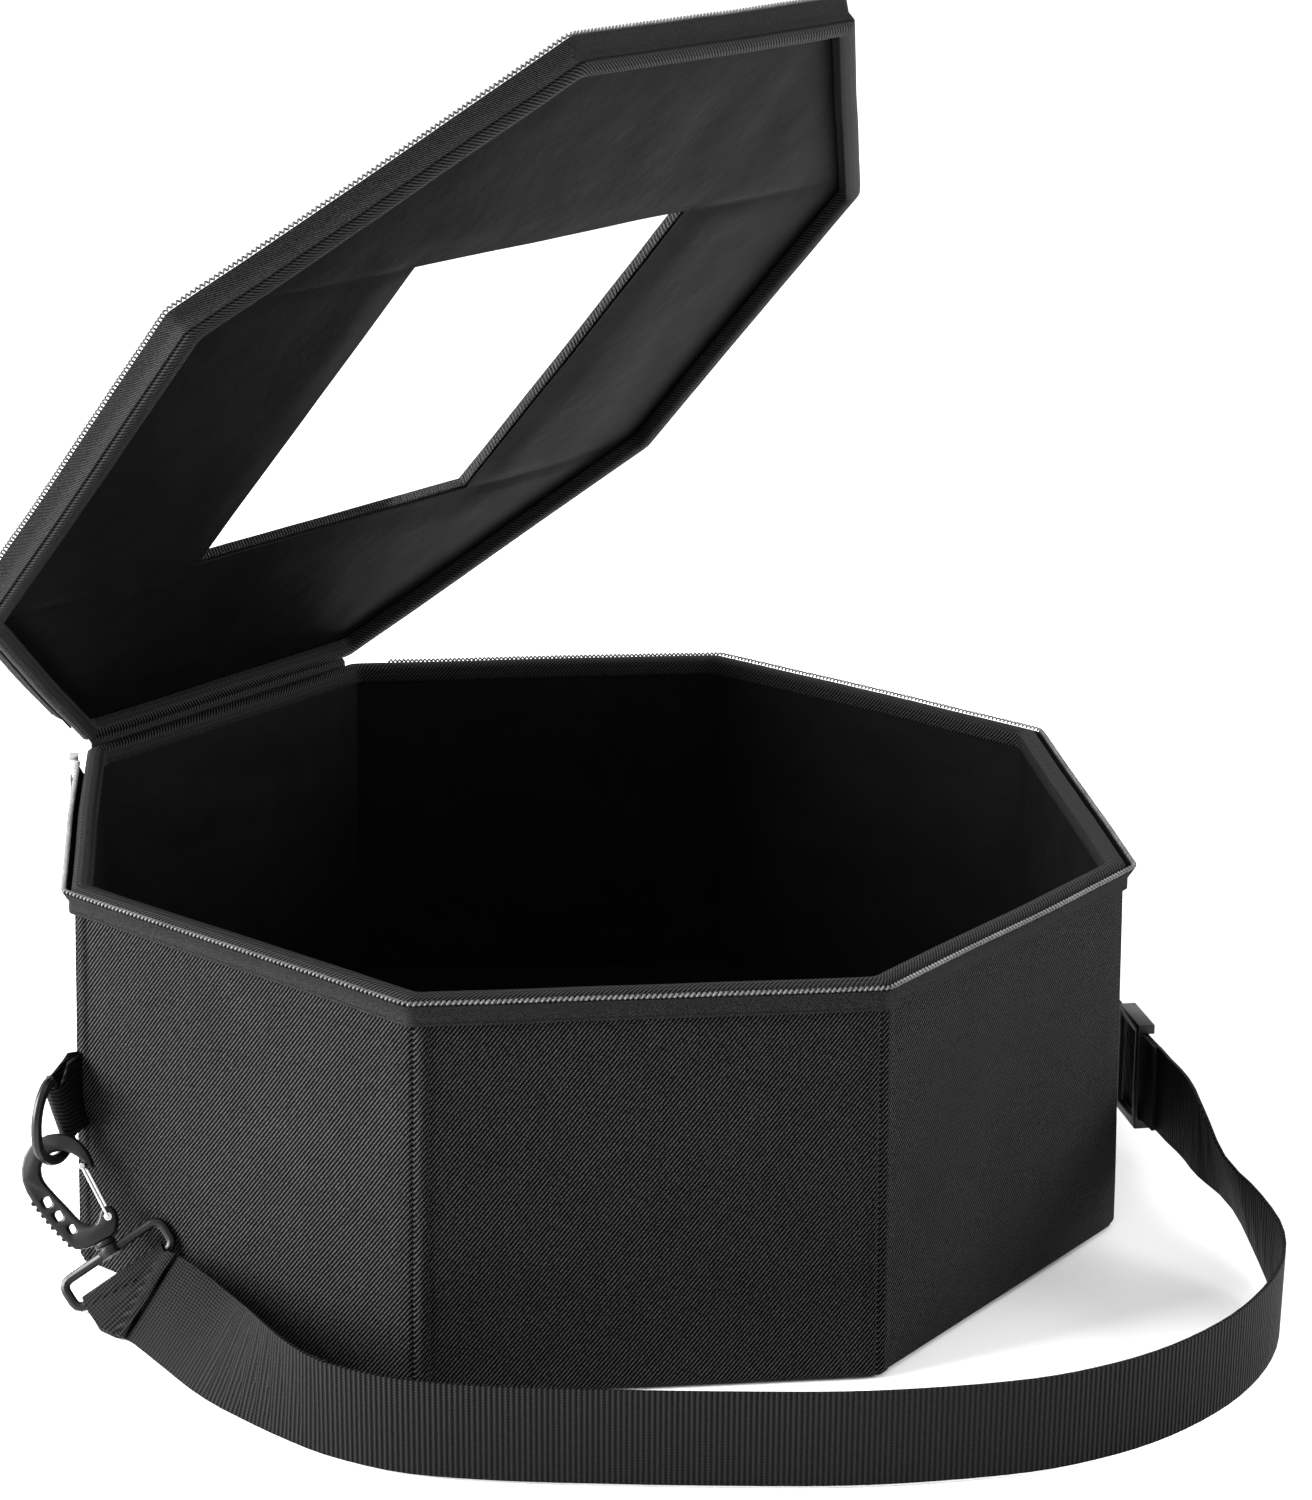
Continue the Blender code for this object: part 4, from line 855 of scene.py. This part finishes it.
def hinge_cloth():
    """One strip of cloth down the back wall and up the lid, which bends at the hinge."""
    outer = RIM_DEPTH / 2 + HINGE_OUT
    inner = outer - HINGE_STRIP
    corners = octagon(-HINGE_OUT, RIM_HEIGHT)
    left = corners[7].x + HINGE_END
    right = corners[6].x - HINGE_END
    levels = 8
    track = [(RIM_HEIGHT - HINGE_REACH * (1 - i / levels), Matrix()) for i in range(levels)]
    for i in range(5):
        share = i / 4
        turn = HINGE @ Matrix.Rotation(-LID_OPEN * share, 4, "X") @ HINGE.inverted()
        track.append((RIM_HEIGHT + (LID_EDGE - RIM_HEIGHT) * share, turn))
    track += [(LID_EDGE + HINGE_REACH * i / levels, OPEN_LID) for i in range(1, levels + 1)]
    columns = 40
    rows = []
    for i in range(columns + 1):
        x = left + (right - left) * i / columns
        back = [turn @ Vector((x, outer, z)) for z, turn in track]
        front = [turn @ Vector((x, inner, z)) for z, turn in track]
        rows.append(back + front[::-1])
    made = add_object("hinge_cloth", skin(rows, False), BINDING_TAPE, None, None,
                      ["hinge_strip_body", "hinge_strip_lid"], 60.0)
    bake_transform(made)


# Copies of CAD pieces with rounder edges
def refined(node, name, finish, body, rounding=0.0003, uv_of=None):
    """A copy of a CAD piece with softened edges and a smooth surface."""
    bm = bmesh.new()
    bm.from_mesh(NODES[node].data)
    bmesh.ops.remove_doubles(bm, verts=bm.verts[:], dist=1e-6)
    bmesh.ops.dissolve_limit(bm, angle_limit=math.radians(0.6), verts=bm.verts[:],
                             edges=bm.edges[:])
    mesh = bpy.data.meshes.new(name)
    bm.to_mesh(mesh)
    bm.free()
    holder = bpy.data.objects.new(name, mesh)
    bpy.context.scene.collection.objects.link(holder)
    bevel = holder.modifiers.new("edges", "BEVEL")
    bevel.limit_method = "ANGLE"
    bevel.angle_limit = math.radians(35)
    bevel.width = rounding
    bevel.segments = 2
    evaluated = holder.evaluated_get(bpy.context.evaluated_depsgraph_get())
    final = bpy.data.meshes.new_from_object(evaluated)
    bpy.data.objects.remove(holder)
    final.name = name
    final.materials.clear()
    final.materials.append(finish)
    for face in final.polygons:
        face.use_smooth = True
    final.set_sharp_from_angle(angle=math.radians(60))
    if uv_of:
        layer = final.uv_layers.new(name="UVMap")
        for loop in final.loops:
            layer.data[loop.index].uv = uv_of(final.vertices[loop.vertex_index].co)
    made = bpy.data.objects.new(name, final)
    bpy.context.scene.collection.objects.link(made)
    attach(made, body)
    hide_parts(node)
    return made


# Middle line of the strap, worked out from part.py: place, lean of its width off the vertical, and
# the azimuth that its upper edge leans to, in degrees
STRAP_ROUTE = [
    (-0.2362, 0.0474, 0.0142, 57.4, -38.3),
    (-0.2440, 0.0245, 0.0143, 47, -43), (-0.2515, -0.0050, 0.0145, 44, -40),
    (-0.2605, -0.0320, 0.0160, 34, -32), (-0.2670, -0.0555, 0.0183, 18, -30),
    (-0.2712, -0.0780, 0.0196, 6, -30), (-0.2715, -0.1000, 0.0197, 0, 0),
    (-0.2635, -0.1290, 0.0197, 0, 0), (-0.2480, -0.1560, 0.0197, 0, 0),
    (-0.2290, -0.1830, 0.0197, 0, 0), (-0.1960, -0.2260, 0.0197, 0, 0),
    (-0.1590, -0.2700, 0.0197, 0, 0), (-0.1165, -0.3085, 0.0197, 0, 0),
    (-0.0850, -0.3275, 0.0197, 0, 0), (-0.0540, -0.3385, 0.0197, 0, 0),
    (-0.0190, -0.3432, 0.0197, 0, 0), (0.0130, -0.3405, 0.0197, 0, 0),
    (0.0400, -0.3325, 0.0198, 4, 210), (0.0620, -0.3190, 0.0230, 12, 210),
    (0.0780, -0.2990, 0.0300, 30, 210), (0.0880, -0.2790, 0.0390, 48, 212),
    (0.0985, -0.2600, 0.0470, 26, 215), (0.1150, -0.2410, 0.0490, 8, 215),
    (0.1400, -0.2090, 0.0470, 0, 0), (0.1700, -0.1760, 0.0445, 2, 230),
    (0.2018, -0.1468, 0.0420, 10.0, -126.9),
]


def strap_uv():
    """A function that gives distance along the strap and across it for a point on it."""
    samples = []
    run = 0.0
    for here, there in zip(STRAP_ROUTE, STRAP_ROUTE[1:]):
        a = Vector(here[:3])
        b = Vector(there[:3])
        for step in range(12):
            share = step / 12
            lean = math.radians(here[3] + (there[3] - here[3]) * share)
            toward = math.radians(here[4] if here[3] > there[3] else there[4])
            width = Vector((math.sin(lean) * math.cos(toward), math.sin(lean) * math.sin(toward),
                            math.cos(lean)))
            distance = run + (b - a).length * share
            samples.append((a.lerp(b, share), distance, width, (b - a).normalized()))
        run += (b - a).length

    def uv_of(point):
        middle, distance, width, along = min(samples, key=lambda s: (s[0] - point).length_squared)
        return distance + (point - middle).dot(along), (point - middle).dot(width)
    return uv_of


# Frames of the two snap hooks, from part.py: X across to the gate, Y along, Z out of the plane
HOOK_FRAMES = {
    "left": Matrix(((0.6627, 0.0192, -0.7486, -0.2369), (-0.5908, 0.6277, -0.5069, 0.0601),
                    (0.4602, 0.7782, 0.4274, 0.0282), (0.0, 0.0, 0.0, 1.0))),
    "right": Matrix(((0.1043, 0.5913, 0.7997, 0.2130), (0.1389, 0.7875, -0.6004, -0.1319),
                     (-0.9848, 0.1736, 0.0, 0.0453), (0.0, 0.0, 0.0, 1.0))),
}
# Foot and tip of a gate: across, along, and the radius of the rivet there
GATE_ENDS = [(0.0067, 0.0066, 0.0017), (0.0064, 0.0300, 0.0013)]
RIVET_LENGTH = 0.0074
# Outer edge of a hook's spine, where its grips stand: across and along
SPINE = [(-0.0130, 0.0040), (-0.0160, 0.0135), (-0.0187, 0.0260)]
GRIP_PITCH = 0.0034
GRIP_RADIUS = 0.0010
GRIP_LENGTH = 0.0044


def pins(name, places, length, side, finish, body):
    """Round pins through a hook: each has its place across, its place along and its radius."""
    bm = bmesh.new()
    for across, along, radius in places:
        bmesh.ops.create_cone(bm, cap_ends=True, segments=20, radius1=radius, radius2=radius,
                              depth=length, matrix=Matrix.Translation((across, along, 0.0)))
    rims = [edge for edge in bm.edges if edge.calc_face_angle(0.0) > 1.0]
    bmesh.ops.bevel(bm, geom=rims, offset=0.0003, segments=2, affect="EDGES", profile=0.6)
    add_object(name + side, bm, finish, body, HOOK_FRAMES[side], sharp=60.0)


def hook_trim(side):
    """Bright rivets at the ends of a gate, and moulded grips along the hook's spine."""
    pins("rivet_metal_", GATE_ENDS, RIVET_LENGTH, side, METAL, "gate_" + side)
    spine = fill_in([Vector((across, along, 0.0)) for across, along in SPINE], GRIP_PITCH, False)
    grips = [(point.x, point.y, GRIP_RADIUS) for point in spine]
    pins("grip_plastic_", grips, GRIP_LENGTH, side, PLASTIC, "box")


# Each tab's way out of its corner seam, how deep its sewn end goes in, and how long that end is
TAB_OUT = {"left": Vector((-0.924, 0.383, 0.0)), "right": Vector((0.924, -0.383, 0.0))}
TAB_TUCK = 0.0045
TAB_END = 0.0017


def tuck(tab, side):
    """Move the sewn end of a tab into its corner seam."""
    out = TAB_OUT[side]
    inner = min(vert.co.dot(out) for vert in tab.data.vertices)
    for vert in tab.data.vertices:
        if vert.co.dot(out) < inner + TAB_END:
            vert.co -= out * TAB_TUCK


def strap_and_hardware():
    """Strap, tabs, rings, hooks, adjuster, slider and pull."""
    refined("shoulder_strap", "strap_webbing", WEBBING, "box", 0.0004, uv_of=strap_uv())
    for side in ("left", "right"):
        tab = refined("strap_tab_" + side, "tab_webbing_" + side, WEBBING, "box", 0.0003,
                      uv_of=lambda point: (point.z, point.x + point.y))
        tuck(tab, side)
        refined("d_ring_" + side, "ring_plastic_" + side, PLASTIC, "box")
        refined("hook_" + side, "hook_plastic_" + side, PLASTIC, "box", 0.0006)
        refined("hook_collar_" + side, "collar_plastic_" + side, PLASTIC, "box")
        refined("hook_loop_" + side, "loop_plastic_" + side, PLASTIC, "box", 0.0004)
        refined("hook_gate_" + side, "gate_metal_" + side, METAL, "gate_" + side,
                0.0001)
        hook_trim(side)
    refined("strap_adjuster", "adjuster_plastic", PLASTIC, "box", 0.0005)
    refined("zipper_slider", "slider_metal", METAL, "box")
    refined("zipper_pull_tab", "pull_metal", METAL, "zipper_pull", 0.0002)


# Stage, lights and camera
FLOOR_LEVEL = -0.0006
FLOOR_REACH = 40.0
WORLD_STRENGTH = 1.05
AIM = Vector((0.0, 0.0, 0.15))
# Each lamp: its name, place, size and power
LAMPS = [("key", (-2.3, 1.8, 1.2), 2.0, 500.0), ("fill", (1.9, -2.3, 0.9), 1.6, 110.0),
         ("overhead", (0.2, -0.6, 2.8), 1.6, 12.0)]
CAMERA_PLACE = (-1.1433, -0.9440, 0.6850)
CAMERA_YAW = math.radians(-51.647)
CAMERA_PITCH = math.radians(18.370)
CAMERA_ROLL = math.radians(0.608)
LENS = 86.09
SENSOR = 36.0


def studio():
    """White floor, soft lights, and the camera at the photograph's angle."""
    floor_finish = Finish("studio_floor")
    mottle = floor_finish.grain(0.6, 1.0)
    white = floor_finish.ramp(mottle, [(0.0, (0.90, 0.90, 0.90)), (1.0, (0.92, 0.92, 0.92))])
    floor_finish.finish(white, 0.9, None, Specular_IOR_Level=0.1)
    bm = bmesh.new()
    bmesh.ops.create_grid(bm, x_segments=4, y_segments=4, size=FLOOR_REACH)
    mesh = bpy.data.meshes.new("studio_floor")
    bm.to_mesh(mesh)
    bm.free()
    mesh.materials.append(floor_finish.made)
    floor = bpy.data.objects.new("studio_floor", mesh)
    floor.location.z = FLOOR_LEVEL
    bpy.context.scene.collection.objects.link(floor)

    world = bpy.data.worlds.new("studio")
    bpy.context.scene.world = world
    world.use_nodes = True
    world.node_tree.nodes["Background"].inputs[0].default_value = (1.0, 1.0, 1.0, 1.0)
    world.node_tree.nodes["Background"].inputs[1].default_value = WORLD_STRENGTH

    for name, place, size, power in LAMPS:
        lamp = bpy.data.lights.new(name, "AREA")
        lamp.energy = power
        lamp.size = size
        made = bpy.data.objects.new(name, lamp)
        made.location = place
        made.rotation_euler = (AIM - Vector(place)).to_track_quat("-Z", "Y").to_euler()
        bpy.context.scene.collection.objects.link(made)

    level = math.cos(CAMERA_PITCH)
    back = Vector((math.sin(CAMERA_YAW) * level, -math.cos(CAMERA_YAW) * level,
                   math.sin(CAMERA_PITCH)))
    right = Vector((math.cos(CAMERA_YAW), math.sin(CAMERA_YAW), 0.0))
    up = back.cross(right)
    across = right * math.cos(CAMERA_ROLL) + up * math.sin(CAMERA_ROLL)
    above = up * math.cos(CAMERA_ROLL) - right * math.sin(CAMERA_ROLL)
    camera = bpy.data.cameras.new("camera")
    camera.lens = LENS
    camera.sensor_width = SENSOR
    made = bpy.data.objects.new("camera", camera)
    turn = Matrix((across, above, back)).transposed().to_4x4()
    made.matrix_world = Matrix.Translation(CAMERA_PLACE) @ turn
    bpy.context.scene.collection.objects.link(made)
    bpy.context.scene.camera = made
    bpy.context.scene.view_settings.view_transform = "Standard"


walls()
wall_linings()
base()
body_trim()
lid()
hinge_cloth()
strap_and_hardware()
NODES["lid_window"].data.materials.clear()
NODES["lid_window"].data.materials.append(FILM)
studio()
